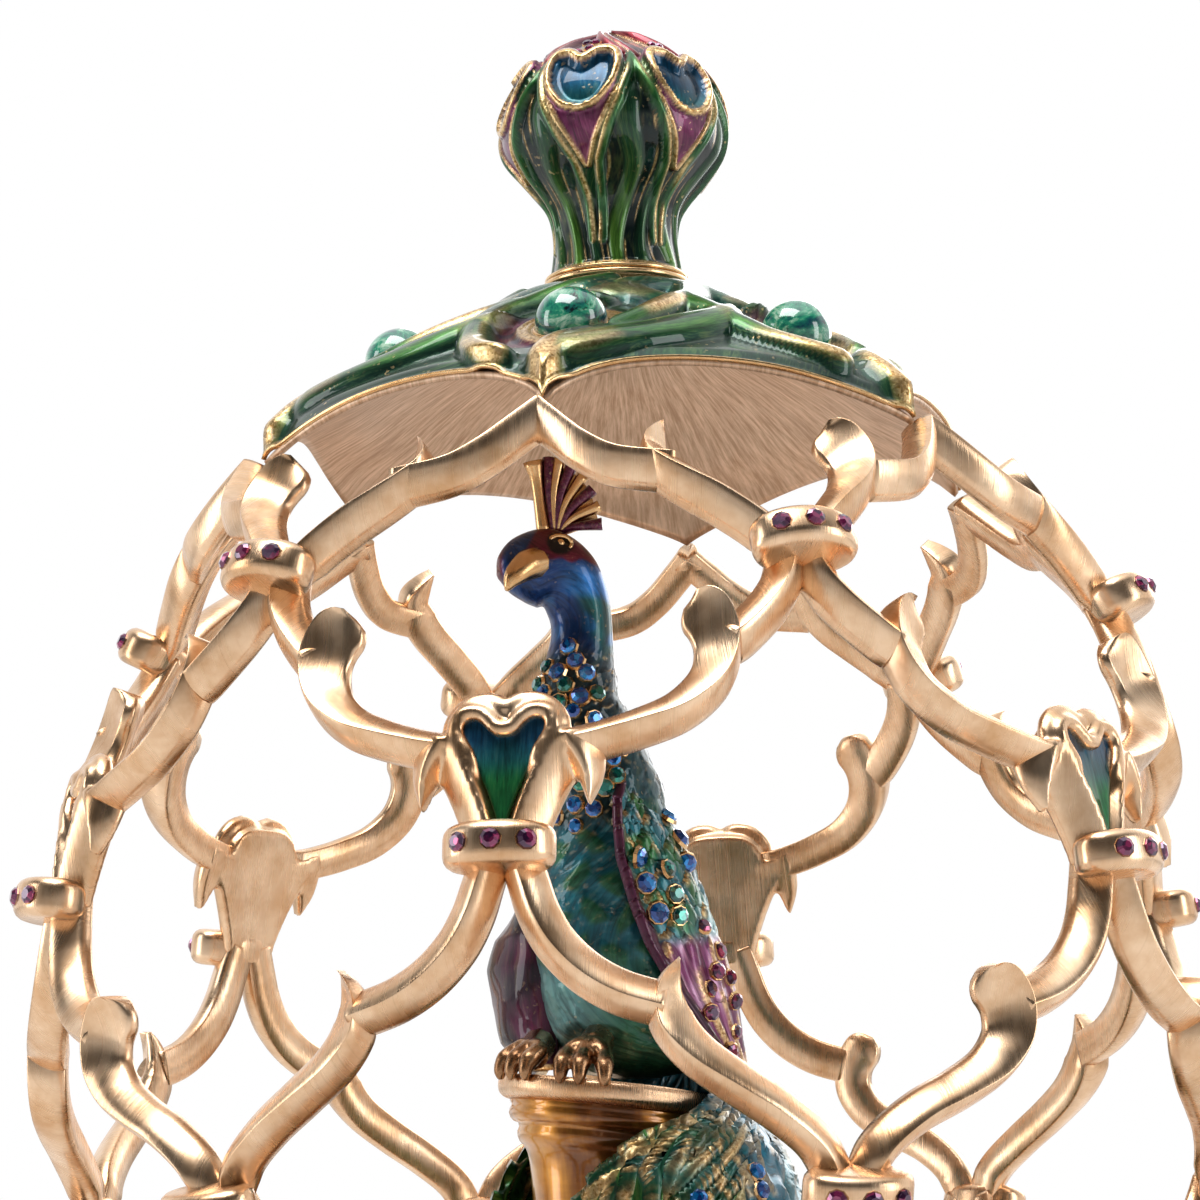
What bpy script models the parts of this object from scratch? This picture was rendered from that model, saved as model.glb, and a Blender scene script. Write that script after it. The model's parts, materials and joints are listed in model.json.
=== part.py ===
"""Jewelled egg on its stand: an open gilt lattice under an enamelled cap, with a peacock inside.

Metres, +Z up. The origin is on the table under the middle of the foot, and -Y is the front.
Azimuths are in degrees, from the front round towards +X.
"""

import math

import bmesh
import bpy
from mathutils import Matrix, Vector

MM = 0.001
GAP = 0.35 * MM  # between neighbouring castings

# The egg, a surface of revolution through the middle of the lattice
EGG_RADIUS = 87.0 * MM
EGG_RISE = 115.0 * MM  # from the widest ring up to the crown
EGG_DROP = 84.0 * MM  # from the widest ring down to the bottom
STAND_HEIGHT = 62.0 * MM
COLUMNS = 6

# Heights of the lattice rings above the widest ring
FORK_Z = 88.0 * MM
RING_Z = {"upper": 63.5 * MM, "bloom": 22.1 * MM, "lower": -21.6 * MM, "base": -54.0 * MM}

# Lattice castings
STRAND_WIDTH = 6.2 * MM
STRAND_DEPTH = 5.8 * MM
STRAND_CREST = 0.5  # width of the outer face against the back
COLLAR_WIDTH = 14.6 * MM
COLLAR_DEPTH = 10.4 * MM
COLLAR_HEIGHT = 5.8 * MM
BLOOM_DEPTH = 5.0 * MM

# Cap, as angles round the egg from its crown, and its stones
CAP_OFFSET = 3.2 * MM  # outer face above the egg's surface
CAP_WALL = 2.4 * MM
CAP_TIP = 40.0
CAP_SCALLOP = 33.8
CAP_FLAT = 5.6
CAP_SKEW = 0.72  # brings each scallop's peak nearer the front
CABOCHON_TILT = 23.2
CABOCHON_RADIUS = 5.4 * MM
CABOCHON_HEIGHT = 5.6 * MM

# Finial
FINIAL_HEIGHT = 41.0 * MM
FINIAL_RADIUS = 17.4 * MM
FINIAL_NECK = 9.4 * MM
FINIAL_BASE = 10.8 * MM
FINIAL_LOBE = 1.0 * MM

# Cup under the lattice
CUP_TIP = 35.0  # angles round the egg from its lowest point
CUP_SCALLOP = 27.0
CUP_FLAT = 12.5
CUP_OFFSET = 3.0 * MM
CUP_WALL = 3.0 * MM

# Stand
FOOT_RADIUS = 52.0 * MM
FOOT_RIM_HEIGHT = 5.0 * MM
FOOT_SKIRT_HEIGHT = 20.0 * MM
STEM_FOOT_RADIUS = 17.0 * MM
STEM_NECK_RADIUS = 9.5 * MM
STEM_KNOP_RADIUS = 14.5 * MM

# Pedestal and bird, which stand a little off the axis and are turned from the front
FIGURE_TURN = 11.0
FIGURE_SHIFT = -4.6 * MM
PLATE_HEIGHT = 77.6 * MM  # above the cup's floor
PLATE_TILT = 7.0
PLATE_RADIUS = 15.6 * MM
PLATE_THICKNESS = 3.4 * MM
COLUMN_RADIUS = 11.4 * MM
PLINTH_RADIUS = 13.4 * MM
BIRD_HEIGHT = 95.0 * MM
TRAIN_LENGTH = 66.0 * MM
TRAIN_THICKNESS = 3.0 * MM

WIDEST_Z = STAND_HEIGHT + EGG_DROP
CROWN_Z = WIDEST_Z + EGG_RISE
COLUMN_STEP = 360.0 / COLUMNS
HALF_STEP = COLUMN_STEP / 2
SPACING = COLUMN_STEP / 60.0  # strand angles below are given for six columns

# Strand centre lines: degrees aside of the collar, and millimetres above it
ARMS = {
    "upper": {
        "up": [(2.0, 0.5), (8.0, 7.6), (14.3, 13.6), (14.4, 18.0), (9.6, 19.4)],
        "down": [(1.8, 0), (3.0, -5.4), (7.4, -12.4)],
    },
    "bloom": {
        "up": [(5.6, 14), (12.6, 16.4), (18.4, 19.6), (22.4, 24.8), (22.6, 29.4), (19.0, 33.8)],
        "stem": [(2.2, 0), (3.2, 7.4), (6.2, 14.2)],
        "thorn": [(7.0, 15.0), (9.6, 4.8)],
        "down": [(2.0, 0), (3.0, -8.2), (6.8, -15.8), (13.2, -20.2)],
    },
    "lower": {
        "up": [(1.8, 0.5), (4.6, 7.2), (12.6, 13.8), (16.6, 19.4), (16.7, 24.2), (14.0, 28.4)],
        "down": [(1.8, 0), (3.6, -6), (7.6, -11.2), (13.0, -14.8)],
    },
    "base": {
        "up": [(2.4, 0), (5.4, 5.0), (13.8, 11.0), (17.2, 17.0), (14.6, 22.0)],
        "down": [(2.4, 0), (6.0, -5.4), (25.4, -12.6)],
    },
}
# Which ring a casting's lower arms land on
LANDS_ON = {"upper": "bloom", "bloom": "lower", "lower": "base"}
FORK_ARM = [(-0.8, -3.2), (3.8, -6.0), (9.4, -10.2), (15.8, -11.6)]


def clear_scene():
    for obj in list(bpy.data.objects):
        bpy.data.objects.remove(obj, do_unlink=True)


def make_material(name, colour, roughness, metallic):
    material = bpy.data.materials.new(name)
    material.use_nodes = True
    shader = material.node_tree.nodes["Principled BSDF"]
    shader.inputs["Base Color"].default_value = (*colour, 1.0)
    shader.inputs["Roughness"].default_value = roughness
    shader.inputs["Metallic"].default_value = metallic
    return material


def add_object(name, mesh, material=None, smooth_angle=40.0):
    obj = bpy.data.objects.new(name, mesh)
    bpy.context.scene.collection.objects.link(obj)
    if material:
        mesh.materials.clear()
        mesh.materials.append(material)
        mesh.shade_smooth()
        mesh.set_sharp_from_angle(angle=math.radians(smooth_angle))
    return obj


def as_tool(obj):
    """A cutter or an operand of a Boolean, left out of the finished model."""
    obj.hide_render = True
    obj.display_type = "WIRE"
    return obj


def combine(obj, tool, operation):
    modifier = obj.modifiers.new(operation.title() + tool.name, "BOOLEAN")
    modifier.operation = operation
    modifier.object = tool
    modifier.solver = "EXACT"


def evaluated_mesh(obj, name):
    graph = bpy.context.evaluated_depsgraph_get()
    mesh = bpy.data.meshes.new_from_object(obj.evaluated_get(graph))
    mesh.name = name
    return mesh


def direction(azimuth):
    a = math.radians(azimuth)
    return Vector((math.sin(a), -math.cos(a), 0))


def turned(azimuth):
    return Matrix.Rotation(math.radians(azimuth), 4, "Z")


def egg_radius(z):
    """Radius of the egg at a height above its widest ring."""
    reach = EGG_RISE if z > 0 else EGG_DROP
    return EGG_RADIUS * math.sqrt(max(0.0, 1 - (z / reach) ** 2))


def egg_point(azimuth, z, lift=0.0):
    """Point on the egg, lifted along the surface's normal, and that normal."""
    reach = EGG_RISE if z > 0 else EGG_DROP
    radius = egg_radius(z)
    slope = Vector((radius / EGG_RADIUS**2, z / reach**2)).normalized()
    out = direction(azimuth)
    normal = out * slope.x + Vector((0, 0, slope.y))
    return out * radius + Vector((0, 0, WIDEST_Z + z)) + normal * lift, normal


def crown_point(azimuth, angle, lift):
    """Point and normal on the upper egg at an angle from its crown."""
    return egg_point(azimuth, EGG_RISE * math.cos(math.radians(angle)), lift)


def base_point(azimuth, angle, lift):
    """Point and normal on the lower egg at an angle from its lowest point."""
    return egg_point(azimuth, -EGG_DROP * math.cos(math.radians(angle)), lift)


def loft(name, rings):
    """Closed mesh through rings of points, each extruded from the one before."""
    bm = bmesh.new()
    ring = [bm.verts.new(p) for p in rings[0]]
    count = len(ring)
    bm.faces.new(ring)
    for points in rings[1:]:
        edges = [bm.edges.get((ring[i], ring[(i + 1) % count])) for i in range(count)]
        made = set(bmesh.ops.extrude_edge_only(bm, edges=edges)["geom"])
        ring = [next(e.other_vert(v) for e in v.link_edges if e.other_vert(v) in made) for v in ring]
        for vert, point in zip(ring, points):
            vert.co = point
    bm.faces.new(ring)
    bmesh.ops.recalc_face_normals(bm, faces=bm.faces)
    mesh = bpy.data.meshes.new(name)
    bm.to_mesh(mesh)
    bm.free()
    return mesh


def lathe(name, profile, segments, lobes=None):
    """Turned solid from (radius, z) pairs, top to bottom; lobes(azimuth, z) scales the radius."""
    rings = []
    for radius, z in profile:
        ring = []
        for i in range(segments):
            azimuth = 360.0 * i / segments
            swell = lobes(azimuth, z) if lobes else 1.0
            ring.append(direction(azimuth) * radius * swell + Vector((0, 0, z)))
        rings.append(ring)
    return loft(name, rings)


def strand_rings(line, azimuth, base_z, widths, grow=0.0):
    """Cross-sections of a strand, narrower outside; a grown one is the slot it sits in."""
    stations = [egg_point(azimuth + SPACING * aside, base_z + up * MM) for aside, up in line]
    rings = []
    for i, (centre, normal) in enumerate(stations):
        before = stations[max(0, i - 1)][0]
        after = stations[min(len(stations) - 1, i + 1)][0]
        side = (after - before).cross(normal).normalized()
        half = STRAND_WIDTH / 2 * widths[i] + grow
        back = -STRAND_DEPTH / 2 - 4 * grow
        front = STRAND_DEPTH / 2 * (0.4 + 0.6 * widths[i]) + 4 * grow
        crest = half if grow else half * STRAND_CREST
        section = [(-half, back), (half, back), (crest, front), (-crest, front)]
        rings.append([centre + side * x + normal * y for x, y in section])
    return rings


def strand(name, line, azimuth, base_z, mirror=1, taper=(1.0, 1.0), grow=0.0):
    """One arm of the lattice; mirror -1 runs it to the left."""
    line = [(mirror * aside, up) for aside, up in line]
    last = len(line) - 1
    widths = [taper[0] + (taper[1] - taper[0]) * (i / last) ** 3 for i in range(last + 1)]
    return add_object(name, loft(name, strand_rings(line, azimuth, base_z, widths, grow)))


def collar(name, base_z):
    """Band that binds the arms, flat at the back and proud in front."""
    half_width, half_height = COLLAR_WIDTH / 2, COLLAR_HEIGHT / 2
    back = -STRAND_DEPTH / 2
    front = back + COLLAR_DEPTH
    outline = [(-0.9, back), (0.9, back), (1.0, front - 0.55 * COLLAR_DEPTH), (0.52, front)]
    outline += [(-x, y) for x, y in outline[-1:1:-1]]
    centre, normal = egg_point(0, base_z)
    up = normal.cross(Vector((1, 0, 0))).normalized()
    up = up if up.z > 0 else -up
    rings = []
    for height, shrink in ((-half_height, 0.94), (half_height, 0.94)):
        rings.append(
            [
                centre + Vector((half_width * x * shrink, 0, 0)) + normal * (back + (y - back) * shrink) + up * height
                for x, y in outline
            ]
        )
    return add_object(name, loft(name, rings))


def bloom(name, base_z):
    """Heart-topped flower above the middle collars."""
    half_width = 7.6 * MM
    outline = [(-0.25, 1), (0.25, 1), (0.95, 11.0), (0.98, 15), (0.5, 19.2)]
    outline += [(-x, up) for x, up in outline[-1:1:-1]]
    rings = []
    for lift in (-STRAND_DEPTH / 2 + 0.2 * MM, BLOOM_DEPTH - STRAND_DEPTH / 2):
        ring = []
        for x, up in outline:
            point, normal = egg_point(0, base_z + up * MM)
            ring.append(point + Vector((half_width * x, 0, 0)) + normal * lift)
        rings.append(ring)
    return add_object(name, loft(name, rings))


def casting_mesh(ring):
    """One lattice casting: collar, arms, and on the middle ring its flower."""
    base_z = RING_Z[ring]
    body = as_tool(collar(ring + "_collar", base_z))
    lands = LANDS_ON.get(ring)
    for mirror in (-1, 1):
        for part, line in ARMS[ring].items():
            taper = {"up": (1.0, 0.72), "thorn": (0.9, 0.12)}.get(part, (1.0, 1.0))
            arm = as_tool(strand(f"{ring}_{part}_{mirror}", line, 0, base_z, mirror, taper))
            if part == "down" and lands:
                landing = ARMS[lands]["up"]
                slot = f"{ring}_saddle_{mirror}"
                cutter = strand(slot, landing, mirror * HALF_STEP, RING_Z[lands], -mirror, grow=GAP)
                combine(arm, as_tool(cutter), "DIFFERENCE")
            combine(body, arm, "UNION")
    if ring == "bloom":
        combine(body, as_tool(bloom("bloom_flower", base_z)), "UNION")
    return evaluated_mesh(body, ring)


def fork_mesh():
    """Forked casting that hangs the lattice from one tip of the cap."""
    left, right = (as_tool(strand(f"fork_{m}", FORK_ARM, 0, FORK_Z, m)) for m in (-1, 1))
    for mirror, arm in ((-1, left), (1, right)):
        landing = ARMS["upper"]["up"]
        cutter = strand(f"fork_saddle_{mirror}", landing, mirror * HALF_STEP, RING_Z["upper"], -mirror, grow=GAP)
        combine(arm, as_tool(cutter), "DIFFERENCE")
    combine(left, right, "UNION")
    return evaluated_mesh(left, "fork")


def build_lattice(gilt):
    meshes = {"fork": fork_mesh()}
    meshes.update({ring: casting_mesh(ring) for ring in RING_Z})
    starts = {"fork": 0.0, "upper": HALF_STEP, "bloom": 0.0, "lower": HALF_STEP, "base": 0.0}
    for ring, start in starts.items():
        for k in range(COLUMNS):
            mesh = meshes[ring].copy()
            mesh.transform(turned(start + k * COLUMN_STEP))
            add_object(f"lattice_{ring}_{k + 1}", mesh, gilt)


def scallop(azimuth, skew=1.0):
    """0 at a tip of a rim and 1 at the peak of a scallop."""
    folded = 180 - abs((azimuth % 360) - 180)
    share = (folded % COLUMN_STEP) / COLUMN_STEP
    return math.sin(math.pi * share**skew) ** 0.8


def build_cap(enamel):
    """Domed, scalloped shell that closes the lattice at the top."""
    segments = 6 * COLUMNS
    shares = (0.0, 0.36, 0.72, 1.0)
    rings = []
    for lift, order in ((CAP_OFFSET, shares), (CAP_OFFSET - CAP_WALL, shares[::-1])):
        for share in order:
            ring = []
            for i in range(segments):
                azimuth = 360.0 * i / segments
                rim = CAP_TIP + (CAP_SCALLOP - CAP_TIP) * scallop(azimuth, CAP_SKEW) * share
                ring.append(crown_point(azimuth, CAP_FLAT + (rim - CAP_FLAT) * share, lift)[0])
            rings.append(ring)
    add_object("cap", loft("cap", rings), enamel)


def build_cabochons(stone):
    """Domed stones standing in the cap, one over each tip."""
    levels = ((0.0, 1.0), (0.5, 0.88), (0.95, 0.42))
    sides = 10
    for k in range(COLUMNS):
        azimuth = k * COLUMN_STEP
        centre, normal = crown_point(azimuth, CABOCHON_TILT, CAP_OFFSET + GAP)
        across = direction(azimuth + 90)
        up = normal.cross(across)
        rings = []
        for height, reach in levels:
            ring = []
            for i in range(sides):
                turn = 2 * math.pi * i / sides
                spoke = across * math.cos(turn) + up * math.sin(turn)
                ring.append(centre + normal * (CABOCHON_HEIGHT * height + 0.15 * MM) + spoke * CABOCHON_RADIUS * reach)
            rings.append(ring)
        add_object(f"cabochon_{k + 1}", loft("cabochon", rings), stone)


def finial_lobes(azimuth, z):
    """Six feather heads round the bulb, fading out down the neck."""
    share = (z - CROWN_Z) / FINIAL_HEIGHT
    strength = max(0.0, math.sin(math.pi * min(1.0, max(0.0, (share - 0.25) / 0.8))))
    return 1 + FINIAL_LOBE / FINIAL_RADIUS * strength * math.cos(math.radians(azimuth * COLUMNS))


def build_finial(enamel):
    foot_z = crown_point(0, CAP_FLAT, CAP_OFFSET)[0].z + GAP
    outline = [(0.3, 1.0), (0.62, 0.9), (0.96, 0.72), (1.0, 0.6), (0.93, 0.49)]
    profile = [(FINIAL_RADIUS * reach, foot_z + FINIAL_HEIGHT * share) for reach, share in outline]
    profile += [(FINIAL_NECK * 1.08, foot_z + FINIAL_HEIGHT * 0.3), (FINIAL_NECK, foot_z + FINIAL_HEIGHT * 0.1)]
    profile += [(FINIAL_BASE, foot_z + FINIAL_HEIGHT * 0.05), (FINIAL_BASE, foot_z)]
    add_object("finial", lathe("finial", profile, 3 * COLUMNS, finial_lobes), enamel)


def build_cup(enamel):
    """Scalloped bowl that carries the lattice and the pedestal."""
    segments = 4 * COLUMNS
    shares = (0.0, 0.5, 1.0)
    rings = []
    for lift, order in ((CUP_OFFSET, shares), (CUP_OFFSET - CUP_WALL, shares[::-1])):
        for share in order:
            ring = []
            for i in range(segments):
                azimuth = 360.0 * i / segments
                rim = CUP_SCALLOP + (CUP_TIP - CUP_SCALLOP) * scallop(azimuth)
                ring.append(base_point(azimuth, CUP_FLAT + (rim - CUP_FLAT) * share, lift)[0])
            rings.append(ring)
    add_object("cup", loft("cup", rings), enamel)


def build_stand(gilt, enamel):
    rim = [(FOOT_RADIUS - 1.6 * MM, FOOT_RIM_HEIGHT), (FOOT_RADIUS, FOOT_RIM_HEIGHT * 0.6), (FOOT_RADIUS, 0)]
    add_object("foot_rim", lathe("foot_rim", rim, 6 * COLUMNS), gilt)

    skirt_z = FOOT_RIM_HEIGHT + GAP
    spread = FOOT_RADIUS - 3.4 * MM - STEM_FOOT_RADIUS
    outline = ((0.0, 1.0), (0.2, 0.72), (0.55, 0.5), (0.88, 0.26), (1.0, 0.0))
    skirt = [(STEM_FOOT_RADIUS + spread * reach, skirt_z + FOOT_SKIRT_HEIGHT * share) for reach, share in outline]
    add_object("foot", lathe("foot", skirt, 4 * COLUMNS), enamel)

    stem_z = skirt_z + FOOT_SKIRT_HEIGHT + GAP
    stem_top = base_point(0, CUP_FLAT, CUP_OFFSET)[0].z - GAP
    height = stem_top - stem_z
    stem = [(STEM_KNOP_RADIUS * 1.16, 1.0), (STEM_KNOP_RADIUS * 1.1, 0.92), (STEM_NECK_RADIUS, 0.8)]
    stem += [(STEM_KNOP_RADIUS, 0.6), (STEM_KNOP_RADIUS, 0.42), (STEM_NECK_RADIUS, 0.22)]
    stem += [(STEM_FOOT_RADIUS * 0.92, 0.0)]
    profile = [(radius, stem_z + height * share) for radius, share in stem]
    add_object("stem", lathe("stem", profile, 18), enamel)


def figure_frame():
    """Places the pedestal and the bird: local X across the view, Y away from it."""
    return turned(FIGURE_TURN) @ Matrix.Translation((FIGURE_SHIFT, 0, 0))


def floor_top():
    return base_point(0, CUP_FLAT, CUP_OFFSET - CUP_WALL)[0].z + GAP


def plate_top():
    return floor_top() + PLATE_HEIGHT


def ellipse_ring(centre, half_x, half_y, tilt=0.0, sides=10):
    """Level ring, tipped about Y by tilt degrees."""
    lean = Matrix.Rotation(math.radians(tilt), 3, "Y")
    ring = []
    for i in range(sides):
        turn = 2 * math.pi * i / sides
        ring.append(Vector(centre) + lean @ Vector((half_x * math.cos(turn), half_y * math.sin(turn), 0)))
    return ring


def build_pedestal(gilt):
    """Round pedestal whose plate tips a little to the right."""
    base, top = floor_top(), plate_top()
    body = PLATE_HEIGHT - PLATE_THICKNESS
    outline = [(PLATE_RADIUS, top, PLATE_TILT), (PLATE_RADIUS, top - PLATE_THICKNESS, PLATE_TILT)]
    outline += [(PLATE_RADIUS * 0.86, base + body * 0.975, PLATE_TILT), (COLUMN_RADIUS, base + body * 0.88, 0)]
    outline += [(COLUMN_RADIUS * 0.92, base + body * 0.3, 0), (COLUMN_RADIUS, base + body * 0.16, 0)]
    outline += [(PLINTH_RADIUS, base + body * 0.07, 0), (PLINTH_RADIUS, base, 0)]
    rings = [ellipse_ring((0, 0, z), radius, radius, tilt, 18) for radius, z, tilt in outline]
    pedestal = add_object("pedestal", loft("pedestal", rings), gilt)
    pedestal.matrix_world = figure_frame()


def bird_torso(unit):
    """Body, neck and head in one loft, as shares of the bird's height above the plate."""
    rows = [
        # across, away, up, half width, half depth, tilt
        (0.06, 0.05, 0.030, 0.060, 0.060, 0),
        (0.05, 0.05, 0.085, 0.125, 0.115, 0),
        (0.05, 0.03, 0.180, 0.150, 0.140, 0),
        (0.045, 0.02, 0.280, 0.152, 0.145, 0),
        (0.035, 0.01, 0.380, 0.135, 0.130, 0),
        (0.020, 0.005, 0.465, 0.104, 0.105, -4),
        (0.000, 0.0, 0.540, 0.066, 0.068, -6),
        (-0.020, 0.0, 0.620, 0.056, 0.056, -4),
        (-0.018, 0.0, 0.700, 0.048, 0.048, 4),
        (-0.022, -0.005, 0.765, 0.047, 0.046, -18),
        (-0.050, -0.015, 0.815, 0.057, 0.050, -50),
        (-0.095, -0.030, 0.815, 0.052, 0.045, -80),
        (-0.120, -0.040, 0.800, 0.022, 0.020, -100),
    ]
    return [ellipse_ring((unit * x, unit * y, unit * z), unit * a, unit * b, t) for x, y, z, a, b, t in rows]


def bird_beak(unit):
    rows = [(-0.095, -0.045, 0.805, 0.026), (-0.130, -0.072, 0.782, 0.018), (-0.152, -0.088, 0.752, 0.004)]
    return [ellipse_ring((unit * x, unit * y, unit * z), unit * r, unit * r, -60, 6) for x, y, z, r in rows]


def bird_crest(unit):
    """Fan of feathers over the head."""
    thickness = 0.016
    outline = [(-0.052, 0.83), (-0.030, 0.83), (0.052, 0.90), (0.058, 0.935)]
    outline += [(0.035, 0.975), (0.0, 1.0), (-0.045, 0.995), (-0.075, 0.985)]
    rings = []
    for y in (-thickness, thickness):
        rings.append([Vector((x, y, z)) * unit for x, z in outline])
    return rings


def bird_wing(unit, facing, sweep, droop):
    """Folded wing down one flank, turning by sweep degrees towards its tip."""
    rows = [
        # share of the sweep, up, reach from the body's middle, half breadth
        (0.0, 0.530, 0.085, 0.030),
        (0.15, 0.460, 0.118, 0.068),
        (0.35, 0.340, 0.148, 0.095),
        (0.6, 0.210, 0.164, 0.088),
        (0.85, 0.100, 0.168, 0.060),
        (1.0, 0.030, 0.166, 0.030),
    ]
    thick = 0.022
    rings = []
    for share, up, reach, breadth in rows:
        turn = math.radians(facing + sweep * share)
        out = Vector((math.cos(turn), math.sin(turn), 0))
        along = Vector((-math.sin(turn), math.cos(turn), 0)) * math.copysign(1, sweep)
        centre = Vector((0.045, 0.025, up)) + out * (reach + droop * share)
        section = [(-1, -0.4), (-0.4, 1.0), (0.4, 1.0), (1, -0.4), (0.6, -1.4), (-0.6, -1.4)]
        rings.append([(centre + along * x * breadth + out * y * thick) * unit for x, y in section])
    return rings


def train_rings(unit):
    """Long tail, wrapped round the right of the pedestal from front to back."""
    rows = [
        # share down, radius, first angle, last angle round the column
        (-0.14, 0.165, 0, 60),
        (0.02, 0.195, -16, 100),
        (0.2, 0.205, -60, 140),
        (0.42, 0.220, -98, 172),
        (0.7, 0.255, -108, 176),
        (1.0, 0.300, -104, 160),
    ]
    sides = 9
    rings = []
    for down, radius, first, last in rows:
        z = -down * TRAIN_LENGTH
        ring = []
        for lift, span in ((0.0, range(sides)), (TRAIN_THICKNESS, reversed(range(sides)))):
            for i in span:
                turn = math.radians(first + (last - first) * i / (sides - 1))
                reach = radius * unit + lift
                ring.append(Vector((reach * math.cos(turn), reach * math.sin(turn), z)))
        rings.append(ring)
    return rings


def bird_foot(unit, across):
    """Leg and toes, standing square on the tipped plate."""
    settle = -across * math.tan(math.radians(PLATE_TILT))
    rows = ((0.0, 0.05, 0.045, PLATE_TILT), (0.03, 0.045, 0.045, PLATE_TILT), (0.09, 0.04, 0.05, 0))
    return [
        ellipse_ring((unit * across, -0.02 * unit, unit * (up + settle)), unit * a, unit * b, tilt, 6)
        for up, a, b, tilt in rows
    ]


def build_peacock(enamel):
    unit = BIRD_HEIGHT
    body = add_object("peacock", loft("peacock", bird_torso(unit)), enamel)
    parts = {
        "beak": bird_beak(unit),
        "crest": bird_crest(unit),
        "near_wing": bird_wing(unit, -36, 32, 0.0),
        "far_wing": bird_wing(unit, 150, 12, 0.06),
        "train": train_rings(unit),
        "left_foot": bird_foot(unit, -0.08),
        "right_foot": bird_foot(unit, 0.02),
    }
    frame = figure_frame() @ Matrix.Translation((0, 0, plate_top() + GAP))
    for name, rings in parts.items():
        tool = as_tool(add_object("bird_" + name, loft(name, rings)))
        tool.matrix_world = frame
        combine(body, tool, "UNION")
    body.matrix_world = frame


def build():
    clear_scene()
    gilt = make_material("satin_gilt", (0.80, 0.60, 0.36), 0.32, 1.0)
    green = make_material("green_enamel", (0.03, 0.22, 0.11), 0.15, 0.2)
    peacock = make_material("peacock_enamel", (0.02, 0.16, 0.28), 0.18, 0.2)
    stone = make_material("green_cabochon", (0.10, 0.48, 0.34), 0.08, 0.0)
    old_gold = make_material("amber_gilt", (0.62, 0.38, 0.12), 0.25, 1.0)
    build_lattice(gilt)
    build_cap(green)
    build_cabochons(stone)
    build_finial(green)
    build_cup(green)
    build_stand(gilt, green)
    build_pedestal(old_gold)
    build_peacock(peacock)


build()
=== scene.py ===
"""Dresses the jewelled egg: gilt castings, enamels, stones, the peacock, floor, lights and camera."""

import json
import math
import random

import bmesh
import bpy
import numpy as np
from mathutils import Matrix, Vector
from mathutils.bvhtree import BVHTree

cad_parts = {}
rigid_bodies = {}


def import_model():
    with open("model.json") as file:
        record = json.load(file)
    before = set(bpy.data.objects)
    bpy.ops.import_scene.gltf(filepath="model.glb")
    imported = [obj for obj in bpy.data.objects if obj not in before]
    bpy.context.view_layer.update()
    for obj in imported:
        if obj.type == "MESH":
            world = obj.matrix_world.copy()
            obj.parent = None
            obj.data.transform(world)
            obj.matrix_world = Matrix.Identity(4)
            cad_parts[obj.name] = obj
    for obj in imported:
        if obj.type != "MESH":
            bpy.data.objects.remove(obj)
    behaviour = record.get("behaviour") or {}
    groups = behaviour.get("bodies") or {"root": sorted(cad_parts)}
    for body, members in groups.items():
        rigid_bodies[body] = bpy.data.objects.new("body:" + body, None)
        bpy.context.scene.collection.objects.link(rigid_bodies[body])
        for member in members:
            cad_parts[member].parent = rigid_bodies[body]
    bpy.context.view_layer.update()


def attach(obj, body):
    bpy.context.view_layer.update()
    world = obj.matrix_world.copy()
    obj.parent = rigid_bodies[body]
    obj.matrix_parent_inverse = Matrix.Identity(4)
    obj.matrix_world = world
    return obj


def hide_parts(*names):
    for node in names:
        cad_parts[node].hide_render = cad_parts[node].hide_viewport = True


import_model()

# Lengths are in millimetres until a piece is finished; azimuths in degrees, from the front round towards +X
MM = 0.001
COLUMNS = 6

# The egg: its widest radius, its reach above and below the widest ring, and that ring's height
EGG_RADIUS = 87.0
EGG_RISE = 115.0
EGG_DROP = 84.0
WIDEST_Z = 146.0

# The rings of castings: height above the widest ring, and azimuth of the first casting
FORK_H = 88.0
RING_H = {"upper": 63.5, "bloom": 22.1, "lower": -21.6, "base": -54.0}
RING_START = {"fork": 0, "upper": 30, "bloom": 0, "lower": 30, "base": 0}

# The cap and the cup, in degrees from the axis: tips and scallops of the rim, flat middle, the cap's eyes
CAP_TIP = 40.0
CAP_SCALLOP = 33.8
CAP_FLAT = 5.6
EYE_TILT = 23.2
CAP_DIP = 2.4
CUP_TIP = 35.0
CUP_SCALLOP = 27.0
CUP_FLAT = 12.5

FINIAL_FOOT = 263.6
FINIAL_TOP = 304.8

# The pedestal and the bird on it
FIGURE_TURN = 11.0
FIGURE_SHIFT = -4.6
PLATE_TOP = 141.94
PLATE_TILT = 7.0
PLATE_DROP = 0.35

LEAF = (0.022, 0.125, 0.030)
DEEP = (0.006, 0.040, 0.026)
LIME = (0.16, 0.27, 0.035)
PLUM = (0.13, 0.014, 0.060)
HEART = (0.004, 0.145, 0.27)
COBALT = (0.010, 0.050, 0.20)
SKY = (0.09, 0.27, 0.30)


# Places on the egg

def direction(azimuth):
    a = math.radians(azimuth)
    return Vector((math.sin(a), -math.cos(a), 0))


def egg_radius(h):
    reach = EGG_RISE if h > 0 else EGG_DROP
    return EGG_RADIUS * math.sqrt(max(0.0, 1 - (h / reach) ** 2))


def egg_point(azimuth, h, lift=0.0):
    """Point on the egg at a height above its widest ring, and the way out from there."""
    reach = EGG_RISE if h > 0 else EGG_DROP
    radius = egg_radius(h)
    slope = Vector((radius / EGG_RADIUS**2, h / reach**2)).normalized()
    out = direction(azimuth)
    normal = out * slope.x + Vector((0, 0, slope.y))
    return out * radius + Vector((0, 0, WIDEST_Z + h)) + normal * lift, normal


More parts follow.
